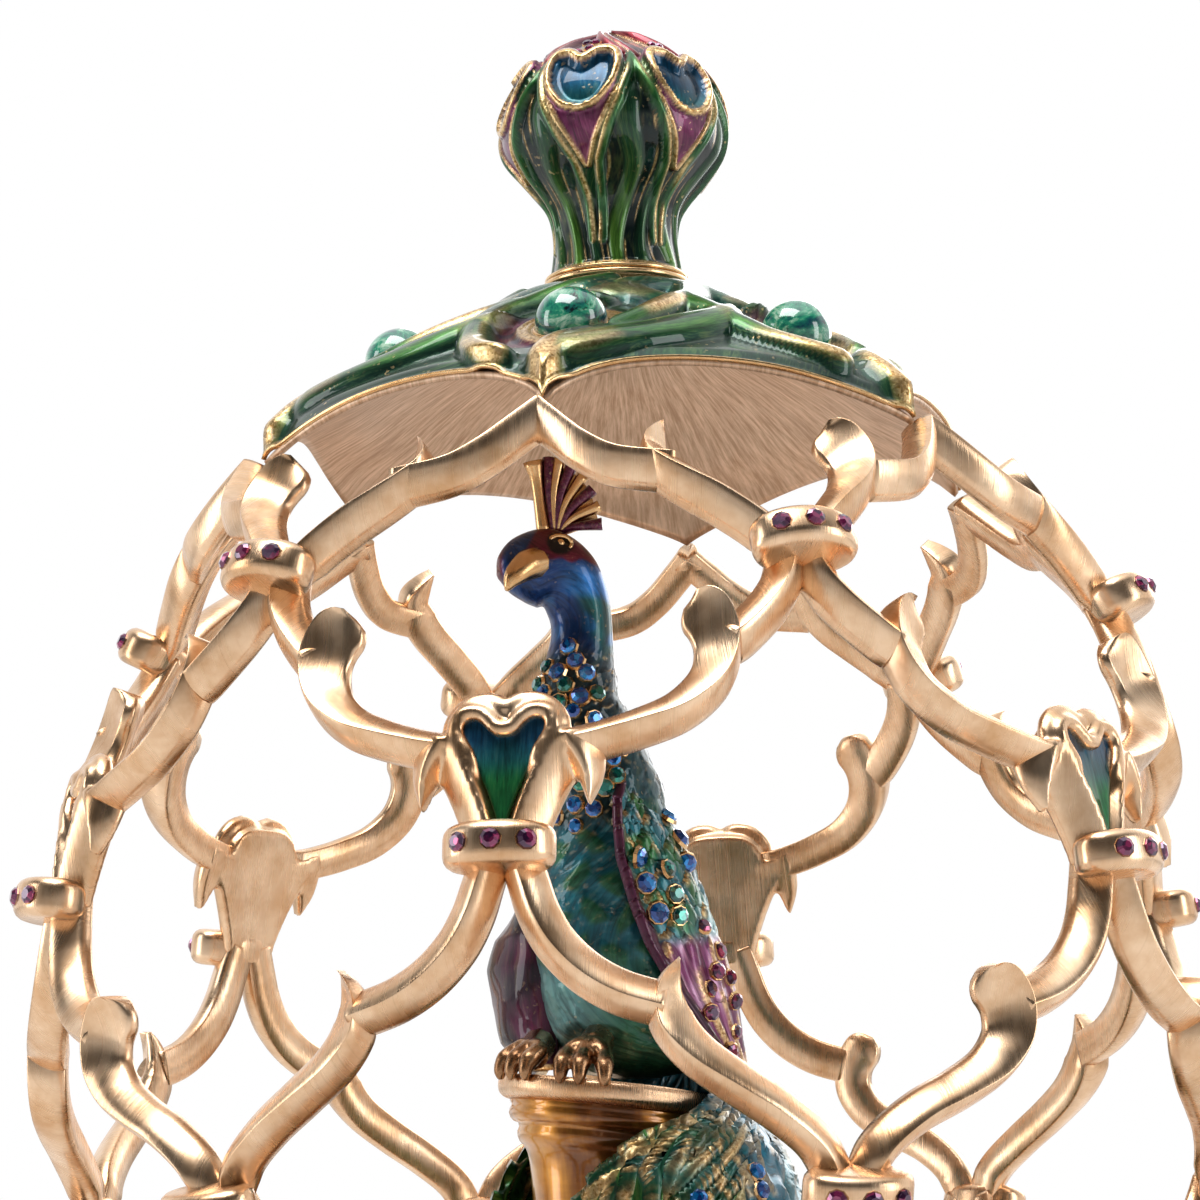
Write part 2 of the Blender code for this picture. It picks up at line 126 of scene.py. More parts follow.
def smooth_line(points, steps=6):
    """Points of a smooth curve through the given ones."""
    points = [Vector(p) for p in points]
    ends = [2 * points[0] - points[1], *points, 2 * points[-1] - points[-2]]
    out = []
    for a, b, c, d in zip(ends, ends[1:], ends[2:], ends[3:]):
        for k in range(steps):
            t = k / steps
            out.append(
                0.5 * (2 * b + (c - a) * t + (2 * a - 5 * b + 4 * c - d) * t**2 + (3 * b - a - 3 * c + d) * t**3)
            )
    return [*out, points[-1]]


def curve(pairs, steps=6):
    """Points of a smooth curve through pairs, on the flat."""
    return smooth_line([(x, y, 0) for x, y in pairs], steps)


def level_ring(radius, height, count):
    """Points round a level circle about the axis."""
    turns = [2 * math.pi * i / count for i in range(count)]
    return [Vector((radius * math.cos(t), radius * math.sin(t), height)) for t in turns]


def scallop(azimuth, skew=1.0):
    """0 at a tip of a rim and 1 at the peak of a scallop; takes an array."""
    folded = 180 - np.abs(np.mod(azimuth, 360) - 180)
    share = np.mod(folded, 60) / 60
    return np.sin(np.pi * np.clip(share, 0, 1) ** skew) ** 0.8


# Mesh tools

def loft(bm, rings):
    """Extrudes a ring of points from each one to the next and closes both ends."""
    ring = [bm.verts.new(p) for p in rings[0]]
    edges = bm.faces.new(ring).edges[:]
    for points in rings[1:]:
        made = bmesh.ops.extrude_edge_only(bm, edges=edges)["geom"]
        fresh = {v for v in made if isinstance(v, bmesh.types.BMVert)}
        edges = [e for e in made if isinstance(e, bmesh.types.BMEdge) and fresh.issuperset(e.verts)]
        ring = [next(e.other_vert(v) for e in v.link_edges if e.other_vert(v) in fresh) for v in ring]
        for vert, point in zip(ring, points):
            vert.co = point
    bm.faces.new(ring)


def tube(bm, line, radii, sides=8, closed=False):
    """Round bar along a line, with a radius at each point."""
    rings = []
    before_side = None
    for i, centre in enumerate(line):
        after = line[(i + 1) % len(line)] if closed or i + 1 < len(line) else centre
        before = line[i - 1] if closed or i else centre
        along = (after - before).normalized()
        side = before_side or along.orthogonal()
        side = (side - along * side.dot(along)).normalized()
        before_side = side
        up = along.cross(side)
        radius = radii[i] if isinstance(radii, (list, tuple)) else radii
        turns = [2 * math.pi * k / sides for k in range(sides)]
        rings.append([centre + (side * math.cos(t) + up * math.sin(t)) * radius for t in turns])
    if closed:
        rings.append(rings[0])
    loft(bm, rings)


def right_way_out(bm):
    bmesh.ops.recalc_face_normals(bm, faces=bm.faces[:])


def to_mesh(bm, name):
    mesh = bpy.data.meshes.new(name)
    bm.to_mesh(mesh)
    bm.free()
    return mesh


def settled(mesh, *modifiers):
    """The mesh with modifiers applied, each given as (type, settings)."""
    obj = bpy.data.objects.new("work", mesh)
    bpy.context.scene.collection.objects.link(obj)
    for kind, settings in modifiers:
        modifier = obj.modifiers.new(kind.title(), kind)
        for key, value in settings.items():
            setattr(modifier, key, value)
    graph = bpy.context.evaluated_depsgraph_get()
    result = bpy.data.meshes.new_from_object(obj.evaluated_get(graph))
    result.name = mesh.name
    bpy.data.objects.remove(obj, do_unlink=True)
    bpy.data.meshes.remove(mesh)
    return result


def cast_smooth(bm, name, grain, passes=4):
    """Fuses overlapping shells into one skin with softened corners, as a casting has."""
    right_way_out(bm)
    mesh = to_mesh(bm, name)
    return settled(
        mesh,
        ("REMESH", {"mode": "VOXEL", "voxel_size": grain}),
        ("SMOOTH", {"factor": 0.5, "iterations": passes}),
    )


def finish_piece(name, mesh, finishes, nodes, flat=False, turn=0.0):
    """Turns a mesh in millimetres into a piece that rides on the part."""
    mesh.name = name
    mesh.transform(Matrix.Scale(MM, 4) @ Matrix.Rotation(math.radians(turn), 4, "Z"))
    while len(mesh.materials) > len(finishes):
        mesh.materials.pop()
    for i, finish in enumerate(finishes):
        if i < len(mesh.materials):
            mesh.materials[i] = finish
        else:
            mesh.materials.append(finish)
    if not flat:
        mesh.shade_smooth()
    obj = bpy.data.objects.new(name, mesh)
    bpy.context.scene.collection.objects.link(obj)
    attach(obj, "root")
    if nodes:
        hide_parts(*nodes)
    return obj


def colour_points(mesh, paint, flow=None):
    """Stores a colour with its share of gold for each vertex, and the run of its streaks."""
    layer = mesh.attributes.new("paint", "FLOAT_COLOR", "POINT")
    layer.data.foreach_set("color", np.ascontiguousarray(paint, dtype=np.float32).ravel())
    if flow is None:
        flow = points_of(mesh)
    layer = mesh.attributes.new("flow", "FLOAT_VECTOR", "POINT")
    layer.data.foreach_set("vector", np.ascontiguousarray(flow, dtype=np.float32).ravel())


def points_of(mesh):
    points = np.empty(len(mesh.vertices) * 3, dtype=np.float32)
    mesh.vertices.foreach_get("co", points)
    return points.reshape(-1, 3)


# Relief and colour worked out over arrays of points

def hump(distance, radius):
    return np.sqrt(np.clip(1 - (distance / radius) ** 2, 0, 1))


def step(value, low, high):
    """Smooth step from 0 at low to 1 at high."""
    t = np.clip((value - low) / (high - low), 0, 1)
    return t * t * (3 - 2 * t)


def mix(a, b, share):
    share = np.asarray(share)[..., None]
    return np.asarray(a) * (1 - share) + np.asarray(b) * share


def wobble(x, y, seed=0.0):
    """Cheap smooth unevenness between -1 and 1."""
    one = np.sin(x * 1.3 + 2.1 * seed + 1.7 * np.sin(y * 0.9 + seed))
    other = np.sin(y * 1.7 - seed + np.sin(x * 0.8))
    return 0.5 * (one + other)


def beside(line, x, y):
    """Distance from a line, share of the way along it, and offset to its left, for each point."""
    line = [Vector(p).xy for p in line]
    total = sum((b - a).length for a, b in zip(line, line[1:]))
    best = np.full(np.shape(x), 1e9)
    share = np.zeros(np.shape(x))
    offset = np.zeros(np.shape(x))
    run = 0.0
    for a, b in zip(line, line[1:]):
        d = b - a
        t = np.clip(((x - a.x) * d.x + (y - a.y) * d.y) / d.length_squared, 0, 1)
        ex, ey = x - a.x - d.x * t, y - a.y - d.y * t
        gap = np.hypot(ex, ey)
        near = gap < best
        best = np.where(near, gap, best)
        share = np.where(near, (run + t * d.length) / total, share)
        offset = np.where(near, np.sign(d.x * ey - d.y * ex) * gap, offset)
        run += d.length
    return best, share, offset


def turned_sheet(name, turns, rows, place, dress, wall=None):
    """A sheet turned round the axis.

    place(azimuth, share) gives radius, height and the outward slope. dress(azimuth, share, radius, height)
    gives the lift, the paint and the run of the streaks. A wall in millimetres is added inwards.
    """
    bm = bmesh.new()
    bmesh.ops.create_grid(bm, x_segments=turns, y_segments=rows, size=1)
    mesh = to_mesh(bm, name)
    grid = points_of(mesh)
    azimuth = (grid[:, 0] + 1) * 180.0
    share = (1 - grid[:, 1]) / 2
    radius, height, out_r, out_z = place(azimuth, share)
    lift, paint, flow = dress(azimuth, share, radius, height)
    r = radius + lift * out_r
    a = np.radians(azimuth)
    points = np.stack([r * np.sin(a), -r * np.cos(a), height + lift * out_z], axis=1)
    mesh.vertices.foreach_set("co", points.astype(np.float32).ravel())
    colour_points(mesh, paint, flow)
    bm = bmesh.new()
    bm.from_mesh(mesh)
    bpy.data.meshes.remove(mesh)
    bmesh.ops.remove_doubles(bm, verts=bm.verts[:], dist=0.002)
    if wall:
        if sum(f.normal.xy.dot(f.calc_center_median().xy) for f in bm.faces) < 0:
            bmesh.ops.reverse_faces(bm, faces=bm.faces[:])
    else:
        bmesh.ops.holes_fill(bm, edges=[e for e in bm.edges if e.is_boundary], sides=0)
        right_way_out(bm)
    mesh = to_mesh(bm, name)
    if wall:
        mesh.materials.append(None)
        mesh.materials.append(None)
        settings = {"thickness": wall, "offset": -1.0, "material_offset": 1, "material_offset_rim": 1}
        mesh = settled(mesh, ("SOLIDIFY", settings))
    return mesh


def profile_place(profile, steps=10):
    """A place function for a plain turned profile of (radius, height), top to bottom."""
    line = curve(profile, steps)
    radii = np.array([max(p.x, 0.001) for p in line])
    heights = np.array([p.y for p in line])
    runs = np.concatenate([[0], np.cumsum(np.hypot(np.diff(radii), np.diff(heights)))])
    runs /= runs[-1]
    slope_r, slope_z = np.gradient(radii, runs), np.gradient(heights, runs)
    size = np.hypot(slope_r, slope_z)

    def place(azimuth, share):
        out_r = np.interp(share, runs, -slope_z / size)
        out_z = np.interp(share, runs, slope_r / size)
        return np.interp(share, runs, radii), np.interp(share, runs, heights), out_r, out_z

    return place


def undressed(azimuth, share, radius, height):
    """Dress of a plain piece: no relief, no paint and no streaks."""
    count = len(azimuth)
    return np.zeros(count), np.zeros((count, 4)), np.zeros((count, 3))


# Materials

class Value:
    """A shader socket that arithmetic works on."""

    def __init__(self, tree, socket):
        self.tree = tree
        self.socket = socket

    def math(self, operation, *others):
        node = self.tree.nodes.new("ShaderNodeMath")
        node.operation = operation
        for slot_in, value in zip(node.inputs, (self, *others)):
            if isinstance(value, Value):
                self.tree.links.new(value.socket, slot_in)
            else:
                slot_in.default_value = value
        return Value(self.tree, node.outputs[0])

    def __add__(self, other):
        return self.math("ADD", other)

    def __mul__(self, other):
        return self.math("MULTIPLY", other)

    def __sub__(self, other):
        return self.math("SUBTRACT", other)

    def __rsub__(self, other):
        return (self * -1.0) + other

    def __truediv__(self, other):
        return self.math("DIVIDE", other)

    __radd__ = __add__
    __rmul__ = __mul__

    def clamp(self):
        return self.math("MAXIMUM", 0.0).math("MINIMUM", 1.0)

    def stretch(self, low, high):
        """0 at low and 1 at high, clamped."""
        return ((self - low) * (1.0 / (high - low))).clamp()


class Finish:
    """Builds one material; node() adds any node and colour() mixes colours."""

    def __init__(self, name):
        self.material = bpy.data.materials.new(name)
        self.material.use_nodes = True
        self.tree = self.material.node_tree
        self.shader = self.tree.nodes["Principled BSDF"]

    def node(self, kind, settings=None, outlet=0, **inputs):
        node = self.tree.nodes.new("ShaderNode" + kind)
        for key, value in (settings or {}).items():
            setattr(node, key, value)
        for key, value in inputs.items():
            target = node.inputs[key.replace("_", " ")]
            if isinstance(value, Value):
                self.tree.links.new(value.socket, target)
            else:
                target.default_value = value
        return Value(self.tree, node.outputs[outlet])

    def objects(self):
        return self.node("TexCoord", outlet="Object")

    def attribute(self, name, outlet="Vector"):
        return self.node("Attribute", {"attribute_name": name}, outlet)

    def axes(self, vector):
        """The three parts of a vector."""
        split = self.node("SeparateXYZ", Vector=vector)
        return [Value(self.tree, split.socket.node.outputs[i]) for i in range(3)]

    def scaled(self, vector, x, y, z):
        return self.node("Mapping", Vector=vector, Scale=(x, y, z))

    def noise(self, vector, scale, detail=3.0, rough=0.55, outlet="Fac"):
        return self.node("TexNoise", outlet=outlet, Vector=vector, Scale=scale, Detail=detail, Roughness=rough)

    def colour(self, share, a, b, blend="MIX"):
        node = self.tree.nodes.new("ShaderNodeMix")
        node.data_type = "RGBA"
        node.blend_type = blend
        for index, value in ((0, share), (6, a), (7, b)):
            target = node.inputs[index]
            if isinstance(value, Value):
                self.tree.links.new(value.socket, target)
            elif index == 0:
                target.default_value = value
            else:
                target.default_value = (*value, 1.0)
        return Value(self.tree, node.outputs[2])

    def ramp(self, share, *stops):
        """Colours at some shares, blended between."""
        result = self.node("ValToRGB", Fac=share)
        elements = result.socket.node.color_ramp.elements
        while len(elements) < len(stops):
            elements.new(0.5)
        for element, (place, colour) in zip(elements, stops):
            element.position = place
            element.color = (*colour, 1.0)
        return result

    def bump(self, height, strength, distance, onto=None):
        extra = {"Normal": onto} if onto else {}
        return self.node("Bump", Height=height, Strength=strength, Distance=distance, **extra)

    def set(self, **inputs):
        names = {"Base": "Base Color", "Coat": "Coat Weight", "CoatRoughness": "Coat Roughness"}
        for key, value in inputs.items():
            target = self.shader.inputs[names.get(key, key)]
            if isinstance(value, Value):
                self.tree.links.new(value.socket, target)
            elif isinstance(value, tuple):
                target.default_value = (*value, 1.0)
            else:
                target.default_value = value
        return self.material


def brushed_gilt(name, bright, dark, around=True, rough=0.27):
    """Satin gold plate with fine brush lines."""
    f = Finish(name)
    place = f.objects()
    if around:
        x, y, z = f.axes(place)
        angle = y.math("ARCTAN2", x)
        place = f.node("CombineXYZ", X=angle * 0.085, Y=z * 0.10, Z=x * 0.02)
    lines = f.noise(f.scaled(place, 1.0, 0.09, 1.0), 5200.0, 2.0, 0.6)
    broad = f.noise(f.scaled(place, 1.0, 0.3, 1.0), 700.0, 3.0, 0.6)
    cloud = f.noise(f.objects(), 110.0, 4.0, 0.65)
    tone = f.colour(cloud.stretch(0.35, 0.68), bright, dark)
    tone = f.colour(lines.stretch(0.60, 0.85) * 0.4, tone, tuple(c * 0.55 for c in dark))
    height = lines * 0.55 + broad * 0.45
    normal = f.bump(height, 0.3, 0.00012)
    return f.set(Base=tone, Metallic=1.0, Roughness=(broad * 0.18 + (rough - 0.09)), Normal=normal)


def combed_gilt(name):
    """Plain gold with fine combed lines running out from the middle."""
    f = Finish(name)
    x, y, _ = f.axes(f.objects())
    radius = (x * x + y * y).math("SQRT") + 0.0005
    comb = f.node("CombineXYZ", X=x / radius, Y=y / radius, Z=radius * 3.0)
    fine = f.noise(comb, 60.0, 4.0, 0.7)
    coarse = f.noise(comb, 13.0, 2.0, 0.5)
    tone = f.colour(fine.stretch(0.36, 0.66), (0.46, 0.30, 0.19), (0.76, 0.56, 0.41))
    tone = f.colour(coarse.stretch(0.55, 0.8) * 0.35, tone, (0.34, 0.21, 0.13))
    normal = f.bump(fine, 0.2, 0.0002)
    return f.set(Base=tone, Metallic=0.85, Roughness=0.45, Normal=normal)


def fired_enamel(name, sheen=0.78, streaks=1.0, coat=0.7, dusting=0.6):
    """Glassy enamel over worked gold: colour, share of gold and streaks come with the mesh."""
    f = Finish(name)
    paint = f.attribute("paint", "Color")
    gold = f.attribute("paint", "Alpha")
    flow = f.attribute("flow")
    streak = f.noise(f.scaled(flow, 1.0, 0.12, 1.0), 1.25, 4.0, 0.62)
    fine = f.noise(f.scaled(flow, 1.0, 0.10, 1.0), 4.4, 3.0, 0.6)
    cloud = f.noise(f.objects(), 170.0, 3.0, 0.6)
    # Painted highlight: where the streaks run strongest, the enamel is screened towards a pale yellow-green, over
    # its own darker and paler streaks.
    light = (streak * 0.6 + fine * 0.4).stretch(0.52, 0.70) * streaks
    dark = f.colour(0.7, paint, (0.001, 0.004, 0.004))
    bright = f.colour(0.5, paint, (0.34, 0.42, 0.10), "SCREEN")
    base = f.colour((streak * 0.6 + fine * 0.4).stretch(0.36, 0.54), dark, paint)
    base = f.colour(light * 0.45, base, bright)
    base = f.colour(cloud.stretch(0.5, 0.75) * 0.5, base, dark)
    flake = f.node("TexVoronoi", {"feature": "F1"}, "Color", Vector=f.objects(), Scale=2600.0)
    glint = f.node("SeparateColor", Color=flake)
    rich = f.colour(glint, (0.42, 0.22, 0.06), (0.95, 0.68, 0.33))
    dust = glint.stretch(0.94, 0.98) * cloud.stretch(0.5, 0.7) * dusting
    gilded = gold.math("MAXIMUM", dust)
    tone = f.colour(gilded, base, rich)
    normal = f.bump(fine * 0.5 + streak * 0.5, 0.16, 0.0003)
    normal = f.bump(glint * gilded, 0.5, 0.0004, normal)
    metal = (gilded * (1.0 - sheen) + sheen).clamp()
    f.shader.inputs["Specular IOR Level"].default_value = 0.3
    rough = 0.4 - gilded * 0.1
    return f.set(Base=tone, Metallic=metal, Roughness=rough, Normal=normal, Coat=coat, CoatRoughness=0.03)


def cut_stone(name, colour, deep):
    """Cut crystal over foil."""
    f = Finish(name)
    cells = f.node("TexVoronoi", {"feature": "F1"}, "Color", Vector=f.objects(), Scale=1100.0)
    tone = f.node("SeparateColor", Color=cells)
    base = f.colour(tone.stretch(0.35, 0.95), deep, colour)
    f.shader.inputs["IOR"].default_value = 1.75
    return f.set(Base=base, Metallic=0.6, Roughness=0.08, Coat=1.0, CoatRoughness=0.01)


def mottled_stone(name):
    """Polished green stone with clouds, pale wisps and dark specks."""
    f = Finish(name)
    place = f.objects()
    warp = f.noise(place, 90.0, 2.0, 0.5, "Color")
    bent = f.node("VectorMath", {"operation": "MULTIPLY_ADD"}, Vector=warp)
    node = bent.socket.node
    node.inputs[1].default_value = (0.014, 0.014, 0.014)
    f.tree.links.new(place.socket, node.inputs[2])
    wisps = f.noise(f.scaled(bent, 1.0, 0.5, 1.0), 330.0, 5.0, 0.66)
    blots = f.noise(bent, 230.0, 5.0, 0.75)
    tone = f.ramp(
        wisps,
        (0.32, (0.004, 0.045, 0.075)), (0.43, (0.008, 0.13, 0.10)),
        (0.53, (0.03, 0.30, 0.17)), (0.66, (0.50, 0.72, 0.55)),
    )
    tone = f.colour(blots.stretch(0.57, 0.64), tone, (0.004, 0.010, 0.014))
    f.shader.inputs["IOR"].default_value = 1.55
    return f.set(Base=tone, Roughness=0.1, Coat=1.0, CoatRoughness=0.01)


def amber_lacquer(name):
    """Brown-gold lacquer, streaked down the turning."""
    f = Finish(name)
    place = f.objects()
    warp = f.noise(place, 60.0, 2.0, 0.5)
    streak = f.noise(f.scaled(place, 1.0, 1.0, 0.16), 120.0, 5.0, 0.6)
    bands = f.noise(f.scaled(place, 0.25, 0.25, 1.0), 150.0, 4.0, 0.6)
    tone = f.ramp(
        streak * 0.5 + bands * 0.3 + warp * 0.2,
        (0.33, (0.035, 0.011, 0.003)), (0.45, (0.20, 0.065, 0.010)),
        (0.56, (0.60, 0.26, 0.035)), (0.70, (0.85, 0.50, 0.13)),
    )
    normal = f.bump(streak, 0.3, 0.0004)
    return f.set(Base=tone, Metallic=0.75, Roughness=0.3, Normal=normal, Coat=1.0, CoatRoughness=0.05)


gilt = brushed_gilt("satin gilt", (0.90, 0.65, 0.44), (0.64, 0.38, 0.20))
lining_gilt = combed_gilt("combed underside")
inner_gilt = brushed_gilt("brushed underside", (0.62, 0.43, 0.29), (0.44, 0.29, 0.18), rough=0.38)
old_gilt = brushed_gilt("old gilt", (0.58, 0.36, 0.20), (0.20, 0.09, 0.04), around=False, rough=0.26)
bright_gilt = brushed_gilt("bright gilt", (0.88, 0.60, 0.32), (0.62, 0.35, 0.14), around=False, rough=0.22)
enamel = fired_enamel("fired enamel")
bird_enamel = fired_enamel("bird enamel", 0.75, 0.55, 0.5, 0.2)
heart_glass = fired_enamel("heart enamel", 0.7, 0.35, 1.0, 0.0)
sapphire = cut_stone("sapphire crystal", (0.0, 0.26, 0.72), (0.0, 0.045, 0.26))
emerald = cut_stone("emerald crystal", (0.0, 0.28, 0.21), (0.0, 0.05, 0.05))
amethyst = cut_stone("amethyst crystal", (0.40, 0.03, 0.14), (0.05, 0.008, 0.05))
malachite = mottled_stone("mottled cabochon")
amber = amber_lacquer("amber lacquer")


# Set stones

# Seat, girdle and crown: radius below and above, depth and rise, all in stone radii, and the material
STONE_PARTS = ((1.24, 1.10, 0.34, 0.05, 1), (1.0, 0.97, 0.30, 0.30, 0), (0.97, 0.55, 0.32, 0.60, 0))


def set_stone(bm, place, out, radius):
    """A round faceted stone, the first material, in a low gold seat, the second."""
    turn = out.to_track_quat("Z", "Y").to_matrix().to_4x4()
    spot = Matrix.Translation(place) @ turn
    for low, high, depth, rise, index in STONE_PARTS:
        made = bmesh.ops.create_cone(
            bm, cap_ends=True, segments=9, radius1=radius * low, radius2=radius * high, depth=radius * depth,
            matrix=spot @ Matrix.Translation((0, 0, radius * rise)),
        )
        for face in {f for v in made["verts"] for f in v.link_faces}:
            face.material_index = index


# Lattice

# Half sizes of a strand and of a collar, and the length of a thorn's taper
HALF_WIDTH = 2.95
HALF_DEPTH = 2.9
POINT_LENGTH = 8.0
COLLAR_WIDE = 7.45
COLLAR_DEEP = 5.3
COLLAR_HIGH = 2.9
COLLAR_BACK = 2.35
COLLAR_STONE = 1.35
FLOWER_GRAIN = 0.4


def strand_section(ridge):
    """Outline of a strand: a flat back and two swelling facets up to a ridge. A leaning ridge hollows one."""
    facets = []
    for side in (1, -1):
        hollow = min(0.8, max(0.0, (-side * ridge - 0.4) * 2.2))
        facet = []
        for t in (0.0, 0.07, 0.18, 0.32, 0.48, 0.64, 0.78, 0.9, 0.97):
            swell = 0.6 * math.sin(math.pi / 2 * t) ** 0.9 + 0.4 * t**0.7
            rise = swell * (1 - hollow) + t**1.5 * hollow
            facet.append((side + (ridge - side) * t, -0.35 + 1.35 * rise))
        facets.append(facet)
    back = [(-0.88, -1.0), (0.0, -1.0), (0.88, -1.0), (0.99, -0.85)]
    return [*back, *facets[0], (ridge, 1.0), *facets[1][::-1], (-0.99, -0.85)]


# Each arm: its line in degrees aside and millimetres up from the collar, widths at its start, middle and end,
# how far its ridge leans out, and how it ends
def leg(*line):
    return line, (0.9, 0.98, 1.0), 0.12, "butt"


def hook(*line, widths, end="lobe"):
    return line, widths, 0.75, end


UPPER_LEG = leg((1.0, 0.3), (2.2, -4.0), (4.2, -7.7), (7.4, -11.8), (8.8, -13.1))
LOWER_LEG = leg((1.2, 0.3), (2.4, -3.6), (4.8, -7.8), (8.4, -11.6), (13.4, -14.8))
ARMS = {
    "upper": [
        hook(
            (1.3, 0.3), (3.6, 3.8), (6.8, 7.4), (9.6, 10.6), (11.2, 13.8), (11.0, 16.8), (9.2, 20.0),
            widths=(0.9, 1.02, 1.16),
        ),
        UPPER_LEG,
    ],
    "upper short": [
        hook(
            (1.3, 0.3), (3.6, 3.8), (7.4, 7.6), (11.0, 10.6), (13.6, 13.2), (14.8, 15.6), (14.2, 17.8), (13.1, 19.8),
            widths=(0.9, 0.98, 0.9), end="point",
        ),
        UPPER_LEG,
    ],
    "bloom": [
        hook(
            (3.6, 14.0), (6.4, 14.4), (9.0, 15.2), (12.2, 16.6), (16.0, 18.9), (18.9, 22.6), (20.1, 26.8),
            (19.8, 30.6), (18.0, 34.4),
            widths=(0.86, 0.94, 1.22),
        ),
        (
            [(1.8, -0.5), (2.0, 2.4), (2.9, 6.4), (4.1, 10.2), (5.4, 13.4), (6.4, 15.2)],
            (0.8, 0.98, 0.9), -0.5, "lobe",
        ),
        ([(6.4, 15.6), (7.2, 12.8), (7.7, 10.0), (7.6, 5.9)], (1.15, 1.0, 0.9), 0.4, "point"),
        leg((1.2, 0.3), (2.1, -4.0), (3.0, -8.0), (4.5, -12.0), (6.9, -15.7), (9.9, -18.4), (13.6, -20.2)),
    ],
    "lower": [
        hook(
            (1.1, 0.3), (3.0, 5.2), (6.4, 9.2), (10.4, 12.2), (13.6, 15.2), (15.4, 18.9), (15.6, 22.4),
            (14.8, 25.2), (13.0, 28.0),
            widths=(0.9, 0.98, 1.16),
        ),
        LOWER_LEG,
    ],
    "lower short": [
        hook(
            (1.1, 0.3), (3.0, 5.2), (6.4, 9.4), (10.2, 13.2), (13.6, 17.0), (15.6, 20.8), (16.1, 24.2),
            (15.8, 26.8), (15.0, 29.4),
            widths=(0.9, 0.98, 1.05), end="point",
        ),
        LOWER_LEG,
    ],
    "base": [
        hook(
            (1.6, 0.3), (3.8, 4.0), (8.6, 7.6), (13.8, 11.2), (16.3, 15.2), (16.2, 19.0), (14.2, 21.8),
            widths=(0.96, 1.02, 1.1),
        ),
        ([(1.6, 0.3), (4.2, -4.6), (10.0, -7.4), (18.0, -9.6), (25.6, -12.8)], (0.96, 1.0, 1.0), 0.12, "butt"),
    ],
    "fork": [
        ([(-0.6, -1.6), (2.6, -4.6), (6.4, -8.2), (10.6, -10.8), (17.4, -11.9)], (0.86, 0.84, 0.9), -0.3, "butt"),
    ],
}


def strand_rings(line, base_h, mirror, widths, curl, end):
    """Sections along an arm of the lattice; a curled arm's ridge leans out towards a lobe or a point."""
    points = curve([(mirror * aside, up) for aside, up in line], 9)
    stations = [egg_point(p.x, base_h + p.y) for p in points]
    last = len(stations) - 1
    rings = []
    for i, (centre, normal) in enumerate(stations):
        before, after = stations[max(0, i - 1)][0], stations[min(last, i + 1)][0]
        side = (after - before).cross(normal).normalized()
        share = i / last
        middle = 4 * share * (1 - share)
        width = widths[0] * (1 - share) + widths[2] * share + (widths[1] - (widths[0] + widths[2]) / 2) * middle
        ridge = mirror * curl
        left = (stations[last][0] - centre).length
        half = HALF_WIDTH * width
        deep = HALF_DEPTH * min(1.0, 0.35 + 0.65 * width)
        if curl > 0.5:
            ridge *= float(step(share, 0.25, 0.85))
            deep *= min(1.0, 0.6 + 0.1 * (stations[0][0] - centre).length)
        if end == "lobe" and left < half:
            round_off = math.sqrt(max(0.01, 1 - (1 - left / half) ** 2))
            half, deep = half * round_off, deep * (0.6 + 0.4 * round_off)
        if end == "point" and left < POINT_LENGTH:
            taper = max(0.06, (left / POINT_LENGTH) ** 0.75)
            half, deep = half * taper, deep * (0.35 + 0.65 * taper)
        rings.append([centre + side * half * x + normal * deep * y for x, y in strand_section(ridge)])
    return rings


def collar_shape(bm, base_h):
    """Oval band round the arms, with rounded edges."""
    centre, normal = egg_point(0, base_h)
    across = Vector((1, 0, 0))
    spot = Matrix((across, -normal, normal.cross(across))).transposed().to_4x4()
    spot.translation = centre
    verts = bmesh.ops.create_circle(bm, cap_ends=True, segments=32, radius=1.0)["verts"]
    bmesh.ops.scale(bm, verts=verts, vec=(COLLAR_WIDE, COLLAR_DEEP, 1))
    bmesh.ops.translate(bm, verts=verts, vec=(0, -COLLAR_BACK, -COLLAR_HIGH))
    for v in verts:
        v.co.y = min(v.co.y, HALF_DEPTH)
    face = verts[0].link_faces[0]
    made = bmesh.ops.extrude_face_region(bm, geom=[face])["geom"]
    top = [v for v in made if isinstance(v, bmesh.types.BMVert)]
    bmesh.ops.translate(bm, verts=top, vec=(0, 0, 2 * COLLAR_HIGH))
    every = [*verts, *top]
    rims = {e for v in every for e in v.link_edges if any(len(f.verts) > 8 for f in e.link_faces)}
    before = {f for v in every for f in v.link_faces}
    made = bmesh.ops.bevel(
        bm, geom=list(rims), offset=1.7, offset_type="OFFSET", segments=4, profile=0.5, affect="EDGES",
        clamp_overlap=True, material=-1,
    )
    faces = {f for f in before if f.is_valid} | set(made["faces"])
    bmesh.ops.transform(bm, matrix=spot, verts=list({v for f in faces for v in f.verts}))


# Half of the flower's heart, up from its point
HEART_TOP = [(0.0, 2.4), (1.3, 6.4), (2.9, 10.2), (4.7, 13.2), (5.9, 15.6), (5.2, 17.6), (2.9, 17.7), (0.7, 15.6)]


def heart_outline(grow):
    """Outline of the flower's heart on the flat, round from its point."""
    right = curve(HEART_TOP)
    left = [Vector((-p.x, p.y, 0)) for p in right[-1:0:-1]]
    middle = Vector((0, 12.6, 0))
    return [middle + (p - middle) * grow for p in [*right, *left]]


def on_front(x, up, base_h, lift):
    """Point on the egg beside the front column, x millimetres aside."""
    h = base_h + up
    return egg_point(math.degrees(x / egg_radius(h)), h, lift)[0]


